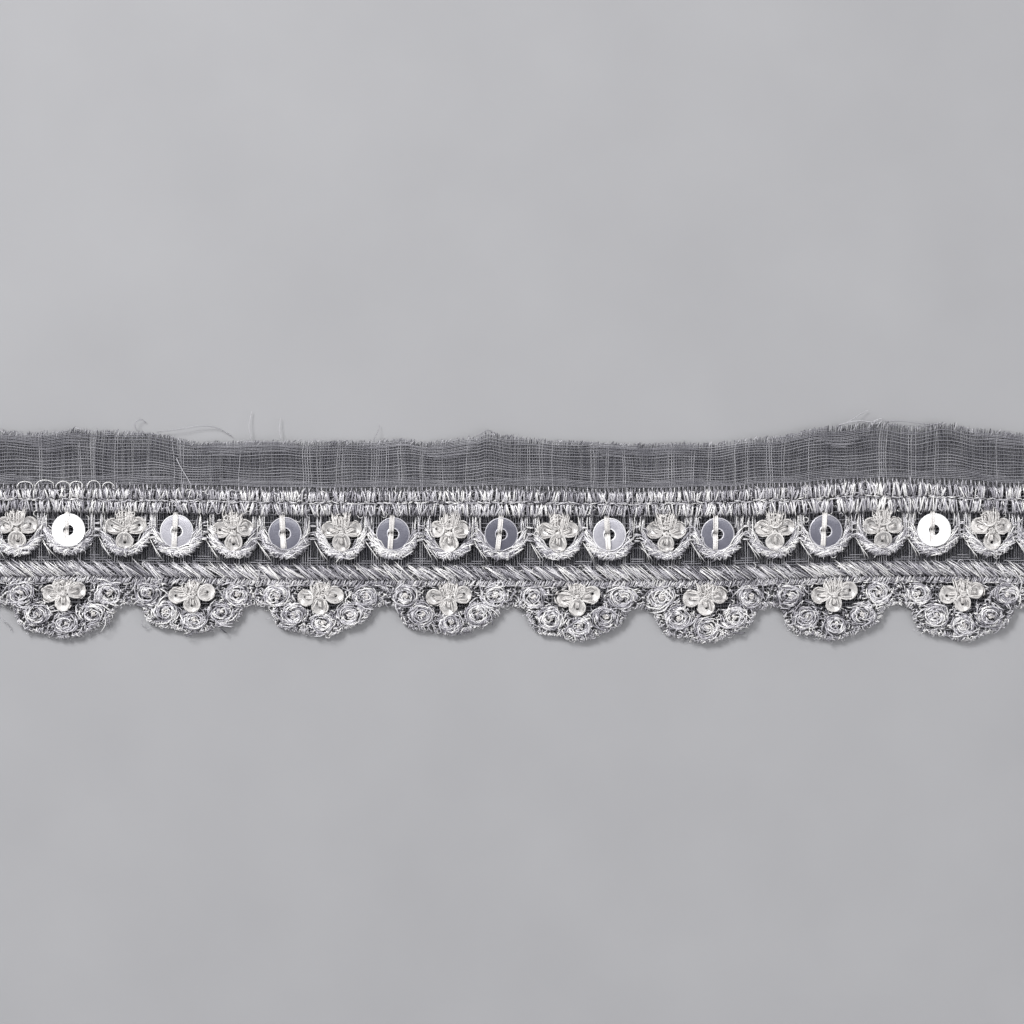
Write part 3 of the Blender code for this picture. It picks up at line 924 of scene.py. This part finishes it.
def edgeStitches(random, centre):
    x = centre + np.linspace(-9.7, 9.7, 400)
    v = edgeBelow(x)
    length = np.concatenate([[0], np.cumsum(np.hypot(np.diff(x), np.diff(v)))])
    count = int(length[-1] / scallops["edgePitch"])
    place = np.sort(random.uniform(0, length[-1], count))
    ex, ev = np.interp(place, length, x), np.interp(place, length, v)
    ahead = np.interp(place + 0.3, length, x) - ex, np.interp(place + 0.3, length, v) - ev
    inward = np.stack([-ahead[1], ahead[0]], 1) / np.maximum(np.hypot(*ahead), 0.01)[:, None]
    slant = random.normal(0, 0.45, count)
    reach = random.uniform(0.35, 1.0, count)
    outer = np.stack([ex, ev], 1) - inward * random.uniform(-0.05, 0.16, count)[:, None]
    aside = np.stack([inward[:, 1], -inward[:, 0]], 1)
    innerEnd = outer + inward * reach[:, None] + aside * slant[:, None]
    kept = np.abs(outer[:, 0]) < halfLength - 0.3
    crest = random.uniform(0.95, 1.35, count)
    paths = arched(outer, innerEnd, 0.45, crest, random.normal(0, 0.15, count))[kept]
    tone = patchyTone(random, ex, ev)[kept] + 0.14
    return tubes(onTrim(paths), random.uniform(0.065, 0.11, count)[kept], tone)


def buildScallops(name, seed, chosen):
    random = np.random.default_rng(seed)
    batches = []
    for number in chosen:
        centre = scallopCentres()[number]
        for along, across, size in eyeletPlaces[number * 5:number * 5 + 5]:
            batches.append(ringStitches(random, along, across, size))
        batches.append(scallopFill(random, centre))
        batches.append(edgeStitches(random, centre))
    return threadMesh(name, batches, silverThread)


scallopPieces = [
    buildScallops("scallopStitchesLeft", 51, range(0, 5)),
    buildScallops("scallopStitchesRight", 52, range(5, 10)),
]

# Loose ends: the frayed cut edge, stray threads, loops, knots in the rings and fuzz on the scallops

looseEnds = {
    "edgeHairs": 700,
    "fuzzPerScallop": 60,
    "loops": 1300,
}

# Stray threads as they lie: points along the trim and up from the cup row, radius
strays = [
    ([(-56.0, 15.3), (-56.5, 16.2), (-56.0, 17.0), (-55.3, 17.1), (-54.8, 16.7)], 0.07),
    ([(-53.0, 15.2), (-49.5, 15.6), (-46.5, 16.2), (-43.8, 15.9), (-41.6, 14.5)], 0.06),
    ([(-38.8, 13.9), (-39.0, 15.2), (-39.1, 16.4), (-38.9, 17.4), (-38.7, 18.3)], 0.06),
    ([(-34.2, 13.8), (-34.4, 14.8), (-34.5, 15.7), (-34.4, 16.6), (-34.3, 17.3)], 0.06),
    ([(-4.7, 14.5), (-3.5, 15.2), (-2.9, 15.6), (-1.9, 15.0), (-0.4, 14.4)], 0.07),
    ([(51.4, 16.6), (52.6, 17.2), (53.4, 17.8), (54.2, 18.2), (54.8, 18.5)], 0.06),
    ([(50.2, 16.2), (52.0, 16.7), (53.8, 16.9), (55.3, 16.6), (56.4, 16.9)], 0.09),
    ([(55.4, 16.7), (56.5, 17.2), (57.1, 17.1), (56.6, 16.6), (55.9, 16.4)], 0.07),
    ([(57.2, 16.8), (59.6, 16.9), (61.8, 16.6), (64.0, 16.3), (66.2, 16.2)], 0.08),
    ([(-65.5, 15.8), (-65.1, 15.7), (-64.8, 15.6), (-64.4, 15.4), (-64.0, 15.3)], 0.10),
    ([(-50.1, 11.2), (-49.7, 10.4), (-49.1, 9.3), (-48.4, 8.1), (-47.8, 7.0)], 0.09),
    ([(-76.8, -13.0), (-76.2, -13.4), (-75.7, -13.9), (-75.3, -14.5), (-75.2, -15.0)], 0.07),
    ([(-55.2, -13.3), (-55.4, -13.9), (-55.1, -14.4), (-54.7, -14.6), (-54.2, -14.3)], 0.07),
    ([(-20.2, 13.8), (-19.9, 14.6), (-19.5, 15.3), (-19.3, 15.9), (-19.4, 16.3)], 0.05),
]

# Slack loops that lie over the net beside the heading: start, end and height
edgeLoops = [
    (-74.2, -71.8, 1.0),
    (-71.4, -68.6, 1.2),
    (-68.3, -66.2, 1.0),
    (-66.2, -64.2, 1.0),
    (-63.6, -61.6, 1.1),
    (-61.3, -59.5, 0.9),
]


def frayedEdge(random):
    count = looseEnds["edgeHairs"]
    x = random.uniform(-halfLength + 0.2, halfLength - 0.2, count)
    clump = np.maximum(np.sin(x * 2.3) * np.sin(x * 0.61 + 1), 0)
    low = trim["netTop"] - random.uniform(0.1, 0.9, count)
    high = trim["netTop"] + random.uniform(0.02, 0.25, count) + 0.45 * clump * random.uniform(0, 1, count)
    a = np.stack([x, low], 1)
    b = np.stack([x + random.normal(0.25, 0.3, count), high], 1)
    level = netLevel(x, low)
    paths = arched(a, b, level, level + random.uniform(0.02, 0.25, count), random.normal(0, 0.12, count))
    return tubes(onTrim(paths), random.uniform(0.04, 0.075, count), random.uniform(0.15, 0.95, count))


def strayThreads(random):
    made = []
    for points, radius in strays:
        spots = np.array(points)
        shares = np.linspace(0, len(spots) - 1, 17)
        curve = np.stack([np.interp(shares, np.arange(len(spots)), spots[:, axis]) for axis in (0, 1)], 1)
        for smoothing in range(3):
            curve[1:-1] = (curve[:-2] + 2 * curve[1:-1] + curve[2:]) / 4
        overNet = (curve[:, 1] < 14.5) & (curve[:, 1] > -11)
        z = np.where(overNet, 1.0, 0.75) + 0.25 * np.sin(shares * 1.3)
        path = np.column_stack([curve[:, 0], curve[:, 1] + rowY, z])
        made.append(tubes(path[None], radius, random.normal(0.75, 0.1, 1)))
    return made


def slackLoops(random):
    made = []
    for first, last, rise in edgeLoops:
        angle = np.linspace(math.pi, 0, 11)
        x = (first + last) / 2 + (last - first) / 2 * np.cos(angle) + random.normal(0, 0.04, 11)
        v = trim["needleLine"] - 0.1 + rise * np.sin(angle) ** 0.7
        path = onTrim(np.column_stack([x, v, np.full(11, 1.15)])[None])
        made.append(tubes(path, 0.085, np.array([0.95])))
    return made


def edgeFuzz(random):
    made = []
    for centre in scallopCentres():
        count = looseEnds["fuzzPerScallop"]
        x = centre + random.uniform(-9.6, 9.6, count)
        x = x[np.abs(x) < halfLength - 1]
        count = len(x)
        v = edgeBelow(x)
        a = np.stack([x, v + 0.15], 1)
        b = np.stack([x + random.normal(0, 0.45, count), edgeBelow(x) - random.uniform(-0.1, 0.28, count)], 1)
        paths = arched(a, b, 0.7, random.uniform(0.5, 1.2, count), random.normal(0, 0.35, count))
        made.append(tubes(onTrim(paths), random.uniform(0.035, 0.06, count), random.normal(0.7, 0.2, count)))
    return made


def looseLoops(random):
    # Small curls that stand a little out of the stitching
    count = looseEnds["loops"]
    x = random.uniform(-halfLength + 1, halfLength - 1, count)
    v = random.uniform(-15.8, 6.2, count)
    ring = cupDistance(x, v)
    inCup = (ring > 2.9) & (ring < 4.1) & (v > -4.2)
    stitchedPlace = (v > 3) | inCup | ((v < -4.9) & (v > edgeBelow(x) + 0.2))
    besideFlower = [np.hypot((x - c) / 3.6, (v - trim["flowerLine"]) / 2.0) for c in scallopCentres()]
    window = np.min(besideFlower, axis=0)
    kept = stitchedPlace & (window > 1)
    x, v = x[kept], v[kept]
    count = len(x)
    shares = np.linspace(0, 1, 6)
    begin = random.uniform(0, 2 * math.pi, count)
    turn = random.uniform(2.2, 5.0, count) * random.choice([-1, 1], count)
    size = random.uniform(0.18, 0.5, count)
    angle = begin[:, None] + shares * turn[:, None]
    z = 1.15 + random.uniform(0.3, 0.6, count)[:, None] * np.sin(shares * math.pi) ** 0.6
    size = size[:, None]
    paths = np.stack([x[:, None] + size * np.cos(angle), v[:, None] + size * np.sin(angle), z], -1)
    return tubes(onTrim(paths), random.uniform(0.045, 0.075, count), random.normal(0.8, 0.18, count))


def ringKnots(random):
    made = []
    for along, across, size in eyeletPlaces:
        count = 14
        angle = random.uniform(0, 2 * math.pi, count)
        radius = random.uniform(0.0, 0.5, count)
        spot = np.stack([np.cos(angle), np.sin(angle)], 1) * radius[:, None]
        turned = np.stack([-np.sin(angle), np.cos(angle)], 1) * random.uniform(0.2, 0.38, count)[:, None]
        place = np.array([along + 0.1, across + 0.1])
        start, end = place + spot - turned, place + spot + turned
        crest = random.uniform(1.3, 1.6, count)
        radius = random.uniform(0.08, 0.14, count)
        made.append(stitches(start, end, 0.95, crest, 0.08, radius, random.normal(0.4, 0.15, count)))
    return made


def buildLooseEnds():
    random = np.random.default_rng(81)
    edge = threadMesh("frayedEdge", [frayedEdge(random), *strayThreads(random)], netThread)
    curls = [*slackLoops(random), *edgeFuzz(random), looseLoops(random)]
    loops = threadMesh("looseLoops", curls, silverThread)
    return edge, loops, threadMesh("ringKnots", ringKnots(random), creamThread)


frayPiece, loopPiece, knotPiece = buildLooseEnds()

# The back: bobbin thread in short zigzags under all the stitching

bobbin = {
    "stitches": 1700,
    "low": (0.14, 0.34),
    "foot": 0.62,
}


def buildBack():
    random = np.random.default_rng(91)
    count = bobbin["stitches"] * 2
    x = random.uniform(-halfLength + 0.8, halfLength - 0.8, count)
    v = random.uniform(-15.8, 6.4, count)
    ring = cupDistance(x, v)
    kept = (v > 3) | ((ring > 2.8) & (ring < 4.0) & (v > -4)) | ((v < -4.9) & (v > edgeBelow(x) + 0.5))
    x, v = x[kept][:bobbin["stitches"]], v[kept][:bobbin["stitches"]]
    count = len(x)
    upright = np.where(v > 3, 1.35, np.where(v > -4.5, 0.6, np.where(v > -8.2, 2.3, 0.8)))
    angle = upright + random.normal(0, 0.35, count)
    reach = random.uniform(0.9, 2.0, count)
    away = np.stack([np.cos(angle), np.sin(angle)], 1) * reach[:, None] / 2
    a, b = np.stack([x, v], 1) - away, np.stack([x, v], 1) + away
    for end in (a, b):
        end[:, 1] = np.maximum(end[:, 1], edgeBelow(end[:, 0]) + 0.1)
    low = spread(random, bobbin["low"], count)
    bow = random.normal(0, 0.08, count)
    radius = random.uniform(0.06, 0.09, count)
    zigzags = stitches(a, b, bobbin["foot"], low, bow, radius, patchyTone(random, x, v))
    return threadMesh("bobbinThreads", [zigzags], silverThread)


backPiece = buildBack()

# Loose sequins

looseSequin = {
    "radius": 2.5,
    "hole": 0.8,
    "segments": 56,
    "film": 0.09,
    "rimRise": 0.08,
    "rimHighlightTone": 0.42,
    "height": 1.32,
}

# Each sequin as it lies: tip towards the net edge, lean, turn of its thread, and a tone added to its film:
# 0.95 is painted glare on the two sequins tipped towards the glint lamp, about 0.35 is painted sheen, and the
# low values are the film's own pearliness
sequinLie = [
    (1.5, -2.0, -2.0, 0.20),
    (-4.5, 1.0, 2.0, 0.95),
    (0.5, 1.0, 3.0, 0.36),
    (1.0, -2.5, -3.0, 0.10),
    (1.0, 1.5, 4.0, 0.05),
    (2.0, -1.5, 6.0, 0.0),
    (0.5, 1.0, -3.0, 0.34),
    (1.5, -1.0, 0.0, 0.10),
    (1.0, 2.5, 3.0, 0.05),
    (-4.5, -1.5, 2.0, 0.95),
    (2.0, 1.0, -4.0, 0.15),
]


def deselectAll():
    bpy.ops.object.select_all(action="DESELECT")


filmRelief = 0.000005     # metres


def pearlMaterial(name, finish):
    material, tree, shader = newMaterial(name)
    shader.inputs["Metallic"].default_value = finish["metallic"]
    shader.inputs["Coat Roughness"].default_value = 0.06
    shader.inputs["Coat Weight"].default_value = finish["coat"]
    place = objectPlace(tree)
    cloud = noise(tree, place, finish["cloudScale"], 4)
    stretch = addNode(tree, "Mapping", {"Vector": place, "Scale": (1, 7, 1), "Rotation": (0, 0, 0.6)})
    scratch = noise(tree, stretch.outputs["Vector"], 900, 2)
    shade = mathNode(tree, "MULTIPLY_ADD", cloud, 0.22, toneOf(tree))
    finishWith(tree, shader, finish, shade, scratch, (0.35, 0.75), scratch, filmRelief)
    return material


sequinPearl = pearlMaterial("pearly sequin film", {
    "colours": [
        (0.0, (0.075, 0.075, 0.10)),
        (0.3, (0.165, 0.165, 0.20)),
        (0.6, (0.58, 0.57, 0.61)),
        (1.0, (0.96, 0.96, 0.96)),
    ],
    "metallic": 0.25,
    "coat": 0.3,
    "cloudScale": 500,
    "roughness": (0.27, 0.34),
    "relief": 0.15,
})
petalPearl = pearlMaterial("pearly cup sequin", {
    "colours": [(0.0, (0.33, 0.325, 0.33)), (0.5, (0.48, 0.465, 0.455)), (1.0, (0.74, 0.72, 0.70))],
    "metallic": 0.1,
    "coat": 0.4,
    "cloudScale": 1400,
    "roughness": (0.25, 0.42),
    "relief": 0.15,
})


def extrudeRing(scale, rise):
    bpy.ops.mesh.extrude_edges_move(TRANSFORM_OT_translate={"value": (0, 0, rise * mm)})
    bpy.ops.transform.resize(value=(scale, scale, 1))


def discOf(name, segments, radius, steps, film):
    # A ring of edges drawn inwards, step by step, to the hole's edge, then given its film's thickness
    deselectAll()
    bpy.ops.mesh.primitive_circle_add(vertices=segments, radius=radius * mm, location=(0, 0, 0))
    piece = bpy.context.object
    piece.name = name
    bpy.ops.object.mode_set(mode="EDIT")
    bpy.ops.mesh.select_all(action="SELECT")
    size = radius
    for target, rise in steps:
        extrudeRing(target / size, rise)
        size = target
    bpy.ops.mesh.select_all(action="SELECT")
    bpy.ops.mesh.normals_make_consistent(inside=False)
    bpy.ops.object.mode_set(mode="OBJECT")
    if piece.data.polygons[0].normal.z < 0:
        piece.data.flip_normals()
    wall = piece.modifiers.new("film", "SOLIDIFY")
    wall.thickness = film * mm
    wall.offset = 0
    bpy.ops.object.modifier_apply(modifier="film")
    return piece


def setTone(piece, values):
    tone = piece.data.attributes.get("tone") or piece.data.attributes.new("tone", "FLOAT", "POINT")
    tone.data.foreach_set("value", np.asarray(values, np.float32))


def copied(master, name, matrix, tone):
    piece = master.copy()
    piece.data = master.data.copy()
    piece.name = name
    piece.data.name = name
    bpy.context.scene.collection.objects.link(piece)
    piece.data.transform(matrix)
    pattern = np.empty(len(piece.data.vertices), np.float32)
    piece.data.attributes["tone"].data.foreach_get("value", pattern)
    setTone(piece, pattern + tone)
    return piece


def placed(place, turn=(0, 0, 0)):
    # A placing matrix from millimetres on the trim and degrees
    x, v, z = place
    spot = Vector((x, float(acrossAt(np.array(x), np.array(v))), z)) * mm
    return Matrix.LocRotScale(spot, Euler([math.radians(a) for a in turn]), None)


def buildSequins():
    radius, hole, rise = looseSequin["radius"], looseSequin["hole"], looseSequin["rimRise"]
    steps = [
        (radius - 0.09, rise),
        (radius - 0.15, -rise),
        (radius - 0.20, 0.0),
        (hole + 0.26, 0.0),
        (hole + 0.20, 0.0),
        (hole + 0.09, rise),
        (hole, 0.01),
    ]
    master = discOf("sequinMaster", looseSequin["segments"], radius, steps, looseSequin["film"])
    bpy.ops.object.shade_smooth_by_angle(angle=math.radians(40))
    reach = np.array([point.co.xy.length for point in master.data.vertices]) / mm
    # The outer rim and the ring round the hole get a lighter tone: painted highlight
    highlightedRims = (reach > radius - 0.1) | (reach < hole + 0.13)
    setTone(master, np.where(highlightedRims, looseSequin["rimHighlightTone"], 0.0))
    master.data.materials.append(sequinPearl)
    made = []
    lies = iter(sequinLie)
    for centre, holdsSequin in cupPlaces:
        if not holdsSequin:
            continue
        tip, lean, turn, tone = next(lies)
        number = len(made) + 1
        height = looseSequin["height"] + radius * math.sin(math.radians(math.hypot(tip, lean)))
        matrix = placed((centre, 0, height), (tip, lean, turn * 8))
        # The last column lifts the film's tone: painted glare on two sequins, painted sheen on two more,
        # pearliness on the rest
        made.append(copied(master, f"looseSequin{number:02d}", matrix, tone))
    bpy.data.objects.remove(master)
    return made


sequinPieces = buildSequins()
print("loose sequins:", len(sequinPieces))

sequinBar = {
    "threads": 7,
    "spacing": 0.105,
    "shift": -0.3,
    "runs": [(2.85, 0.08), (0.12, -2.6)],
    "foot": 1.3,
    "radius": (0.055, 0.09),
    "height": 1.66,
}


def buildBars():
    # A flat bar of cream threads over each sequin, from its upper edge into its hole and on to its lower edge
    random = np.random.default_rng(61)
    starts, ends, feet, tones = [], [], [], []
    lies = iter(sequinLie)
    for centre, holdsSequin in cupPlaces:
        if not holdsSequin:
            continue
        tip, lean, turn, pearl = next(lies)
        sideways = math.tan(math.radians(turn))
        for thread in range(sequinBar["threads"]):
            fromMiddle = thread - (sequinBar["threads"] - 1) / 2
            x = centre + sequinBar["shift"] + fromMiddle * sequinBar["spacing"] + random.normal(0, 0.012)
            for high, low in sequinBar["runs"]:
                starts.append((x + sideways * high, high + random.normal(0, 0.06)))
                ends.append((x + sideways * low + random.normal(0, 0.02), low + random.normal(0, 0.04)))
                tones.append(random.normal(0.5, 0.2))
    count = len(starts)
    crest = sequinBar["height"] + random.normal(0, 0.02, count)
    paths = arched(np.array(starts), np.array(ends), sequinBar["foot"], crest)
    threads = tubes(onTrim(paths), spread(random, sequinBar["radius"], count), np.array(tones), sides=5)
    return threadMesh("sequinThreads", [threads], creamThread)


barPiece = buildBars()

# Flowers of small cup sequins, tied with cream thread

cupFlower = {
    "petals": [(-1.72, 0.6, 1.0), (1.72, 0.75, 1.0), (0.0, -1.35, 1.08), (-0.1, 1.7, 0.8)],
    "height": 1.55,
    "tilt": 19,
}
scallopFlower = {
    "petals": [(-2.15, -0.05, 1.0), (2.05, 0.4, 1.05), (-0.05, -1.35, 1.0), (0.0, 0.9, 0.85)],
    "height": 1.7,
    "tilt": 17,
}
cupSequin = {
    "radius": 1.36,
    "flat": 0.68,
    "hole": 0.24,
    "offset": 0.25,
    "depth": 0.34,
    "facets": 16,
    "film": 0.07,
}


def petalMaster():
    radius, flatRadius = cupSequin["radius"], cupSequin["flat"]
    depth = cupSequin["depth"]
    steps = [
        (radius - 0.12, 0.06),
        (flatRadius + 0.25, -depth * 0.6),
        (flatRadius - 0.1, -depth * 0.4),
        (cupSequin["hole"], 0.0),
    ]
    master = discOf("petalMaster", cupSequin["facets"], radius, steps, cupSequin["film"])
    for point in master.data.vertices:
        spot = point.co.xy / mm
        if spot.length < flatRadius * 1.1:
            point.co.x += cupSequin["offset"] * mm
        point.co.y *= 0.95 + 0.05 * spot.x / radius
    places = np.array([point.co for point in master.data.vertices]) / mm
    reach = np.hypot(places[:, 0], places[:, 1])
    # The rim is painted light as a highlight, and the outer half is painted lighter as light shining through
    # the film
    paintedOuterGlow = 0.22 * smooth(places[:, 0] / radius)
    setTone(master, np.where(reach > radius - 0.2, 0.3, paintedOuterGlow))
    bpy.ops.object.shade_smooth_by_angle(angle=math.radians(50))
    return master


def buildFlower(name, master, random, centre, line, flower):
    petals = []
    for number, (along, across, size) in enumerate(flower["petals"]):
        outward = math.atan2(across, along)
        tip = -math.radians(flower["tilt"] + random.normal(0, 7))
        hinge = Vector((math.sin(outward), -math.cos(outward), 0))
        lean = Matrix.Rotation(tip, 4, hinge)
        spin = Matrix.Rotation(outward + random.normal(0, 0.2), 4, "Z")
        x = centre + along + random.normal(0, 0.1)
        v = line + across + random.normal(0, 0.1)
        spot = placed((x, v, flower["height"] + 0.1 * number))
        wide, narrow = size * random.uniform(0.95, 1.06), size * random.uniform(0.88, 1.02)
        matrix = spot @ lean @ spin @ Matrix.Diagonal((wide, narrow, size, 1))
        petals.append(copied(master, name + "Petal", matrix, random.uniform(0.1, 0.5)))
    deselectAll()
    for petal in petals:
        petal.select_set(True)
    bpy.context.view_layer.objects.active = petals[0]
    bpy.ops.object.join()
    petals[0].name = name
    return petals[0]


def flowerThreads(random, centre, line, flower, cluster):
    starts, ends, crests, bows = [], [], [], []
    height = flower["height"]
    for along, across, size in flower["petals"]:
        outward = np.array([along, across]) / math.hypot(along, across)
        aside = np.array([-outward[1], outward[0]])
        hub = np.array([along, across])
        for share in np.linspace(-0.18, 0.18, 5):     # from the petal's hole in to the middle
            starts.append(hub + aside * share + outward * random.uniform(0.2, 0.42))
            ends.append(outward * 0.2 + aside * (share * 1.5 + random.normal(0, 0.05)))
            crests.append(height + random.uniform(0.3, 0.5))
            bows.append(random.normal(0, 0.05))
        for side in (-1, 1, -1, 1, -1, 1):     # from the middle round the petal's side
            angle = side * random.uniform(0.5, 1.5)
            starts.append(outward * 0.2 + aside * side * random.uniform(0.05, 0.25))
            ends.append(hub + 1.22 * (outward * math.cos(angle) + aside * math.sin(angle)))
            crests.append(height + random.uniform(0.3, 0.5))
            bows.append(side * random.uniform(0.1, 0.45))
        for turn in random.uniform(-1.9, 1.3, 7):     # along the rim
            ahead = turn + random.uniform(0.4, 0.9)
            starts.append(hub + 1.25 * (outward * math.cos(turn) + aside * math.sin(turn)))
            ends.append(hub + 1.25 * (outward * math.cos(ahead) + aside * math.sin(ahead)))
            crests.append(height + random.uniform(0.2, 0.38))
            bows.append(-0.1)
    for angle in np.linspace(0, 2 * math.pi, 16)[:-1]:     # the knot at the middle
        spot = np.array([math.cos(angle), math.sin(angle)]) * random.uniform(0.0, 0.4)
        turned = np.array([-math.sin(angle), math.cos(angle)]) * random.uniform(0.35, 0.7)
        starts.append(spot - turned)
        ends.append(spot + turned)
        crests.append(height + random.uniform(0.6, 0.9))
        bows.append(random.normal(0, 0.1))
    for number in range(cluster["threads"]):
        # Over the top petal: long threads that fan out, and short ones knotted over them
        knotted = number % 2 == 1
        x = random.uniform(-cluster["half"], cluster["half"])
        low = cluster["bottom"] + random.normal(0, 0.2)
        high = cluster["top"] + random.normal(0, 0.3)
        start, end = np.array([x * 1.25, high]), np.array([x * 0.65, low])
        if knotted:
            between = random.uniform(cluster["bottom"] + 0.3, cluster["top"] - 0.4)
            middle = np.array([x * 0.9, between])
            angle = random.uniform(0, math.pi)
            reach = np.array([math.cos(angle), math.sin(angle)]) * random.uniform(0.3, 0.55)
            start, end = middle - reach, middle + reach
        starts.append(start)
        ends.append(end)
        crests.append(cluster["height"] + random.uniform(-0.25, 0.05) + 0.1 * knotted)
        bows.append(random.normal(0, 0.25))
    count = len(starts)
    offset = np.array([centre, line])
    paths = arched(np.array(starts) + offset, np.array(ends) + offset, 1.2, np.array(crests), np.array(bows))
    return tubes(onTrim(paths), random.uniform(0.07, 0.125, count), random.normal(0.42, 0.15, count))


cupCluster = {"threads": 46, "half": 1.3, "top": 3.15, "bottom": 0.6, "height": 2.25}
scallopCluster = {"threads": 38, "half": 1.3, "top": 2.1, "bottom": 0.1, "height": 2.4}


def buildFlowers():
    random = np.random.default_rng(71)
    master = petalMaster()
    master.data.materials.append(petalPearl)
    cupMade, scallopMade, batches = [], [], []
    for centre, holdsSequin in cupPlaces:
        if not holdsSequin:
            name = f"cupFlower{len(cupMade) + 1:02d}"
            cupMade.append(buildFlower(name, master, random, centre, 0, cupFlower))
            batches.append(flowerThreads(random, centre, 0, cupFlower, cupCluster))
    for centre in scallopCentres():
        name = f"scallopFlower{len(scallopMade) + 1:02d}"
        scallopMade.append(buildFlower(name, master, random, centre, trim["flowerLine"], scallopFlower))
        batches.append(flowerThreads(random, centre, trim["flowerLine"], scallopFlower, scallopCluster))
    bpy.data.objects.remove(master)
    return cupMade, scallopMade, threadMesh("flowerThreads", batches, creamThread)


cupFlowerPieces, scallopFlowerPieces, flowerThreadPiece = buildFlowers()
print("flowers:", len(cupFlowerPieces) + len(scallopFlowerPieces))

# Floor, camera and light

photo = {
    "side": 1024,
    "pxPerMm": 6.6,
    "xOfOrigin": 506.9,
    "yOfCupLine": 532.0,
    "aim": (512, 512),
    "height": 0.5,
    "sensor": 36,
}


def floorMaterial():
    material, tree, shader = newMaterial("pale floor")
    shader.inputs["Roughness"].default_value = 0.7
    grain = noise(tree, objectPlace(tree), 40, 5)
    colour = ramp(tree, grain, [(0.3, (0.27, 0.27, 0.28)), (0.7, (0.29, 0.29, 0.30))])
    tree.links.new(colour, shader.inputs["Base Color"])
    return material


deselectAll()
bpy.ops.mesh.primitive_plane_add(size=3, location=(0, 0, 0))
floor = bpy.context.object
floor.name = "floor"
floor.data.materials.append(floorMaterial())


def photoPlace(px, py):
    return (
        (px - photo["xOfOrigin"]) / photo["pxPerMm"] * mm,
        ((photo["yOfCupLine"] - py) / photo["pxPerMm"] + rowY) * mm,
    )


def addCamera():
    x, y = photoPlace(*photo["aim"])
    deselectAll()
    bpy.ops.object.camera_add(location=(x, y, photo["height"]), rotation=(0, 0, 0))
    camera = bpy.context.object
    camera.data.sensor_width = photo["sensor"]
    wide = photo["side"] / photo["pxPerMm"] * mm
    camera.data.lens = photo["sensor"] * (photo["height"] - mm) / wide
    camera.data.clip_start = 0.01
    bpy.context.scene.camera = camera


addCamera()

lights = [
    {"name": "key", "place": (-0.42, 0.50, 0.62), "size": (0.28, 0.28), "watts": 10.0},
    {"name": "fill", "place": (0.55, -0.25, 0.55), "size": (0.6, 0.6), "watts": 3.0},
    {"name": "glint", "place": (0.0, 0.17, 1.05), "size": (0.8, 0.15), "watts": 2.6},
]


def addLights():
    for light in lights:
        deselectAll()
        bpy.ops.object.light_add(type="AREA", location=light["place"])
        lamp = bpy.context.object
        lamp.name = light["name"]
        lamp.data.shape = "RECTANGLE"
        lamp.data.size, lamp.data.size_y = light["size"]
        lamp.data.energy = light["watts"]
        lamp.rotation_euler = (-Vector(light["place"])).to_track_quat("-Z", "Y").to_euler()


addLights()


def addSky():
    world = bpy.data.worlds.new("studio")
    world.use_nodes = True
    bpy.context.scene.world = world
    tree = world.node_tree
    background = tree.nodes["Background"]
    place = addNode(tree, "TexCoord", {})
    split = addNode(tree, "SeparateXYZ", {0: place.outputs["Generated"]})
    stops = [(0.0, (0.75, 0.75, 0.77)), (0.55, (0.55, 0.55, 0.57)), (0.95, (0.14, 0.14, 0.16))]
    tree.links.new(ramp(tree, split.outputs["Z"], stops), background.inputs["Color"])
    background.inputs["Strength"].default_value = 0.7


addSky()
bpy.context.scene.view_settings.view_transform = "Standard"

# What each piece rides on and replaces

stitchPieces = [headingPiece, cupPiece, chevronPiece, *scallopPieces]
stitchPieces += [frayPiece, loopPiece, knotPiece, backPiece]
for piece in [netPiece, barPiece, flowerThreadPiece, *stitchPieces]:
    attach(piece, "root")
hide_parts("trim_base")
for number, piece in enumerate(sequinPieces, 1):
    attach(piece, "root")
    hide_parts(f"sequin_{number:02d}")
for kind, pieces in (("cup_flower", cupFlowerPieces), ("scallop_flower", scallopFlowerPieces)):
    for number, piece in enumerate(pieces, 1):
        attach(piece, "root")
        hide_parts(f"{kind}_{number:02d}")

bpy.context.view_layer.update()
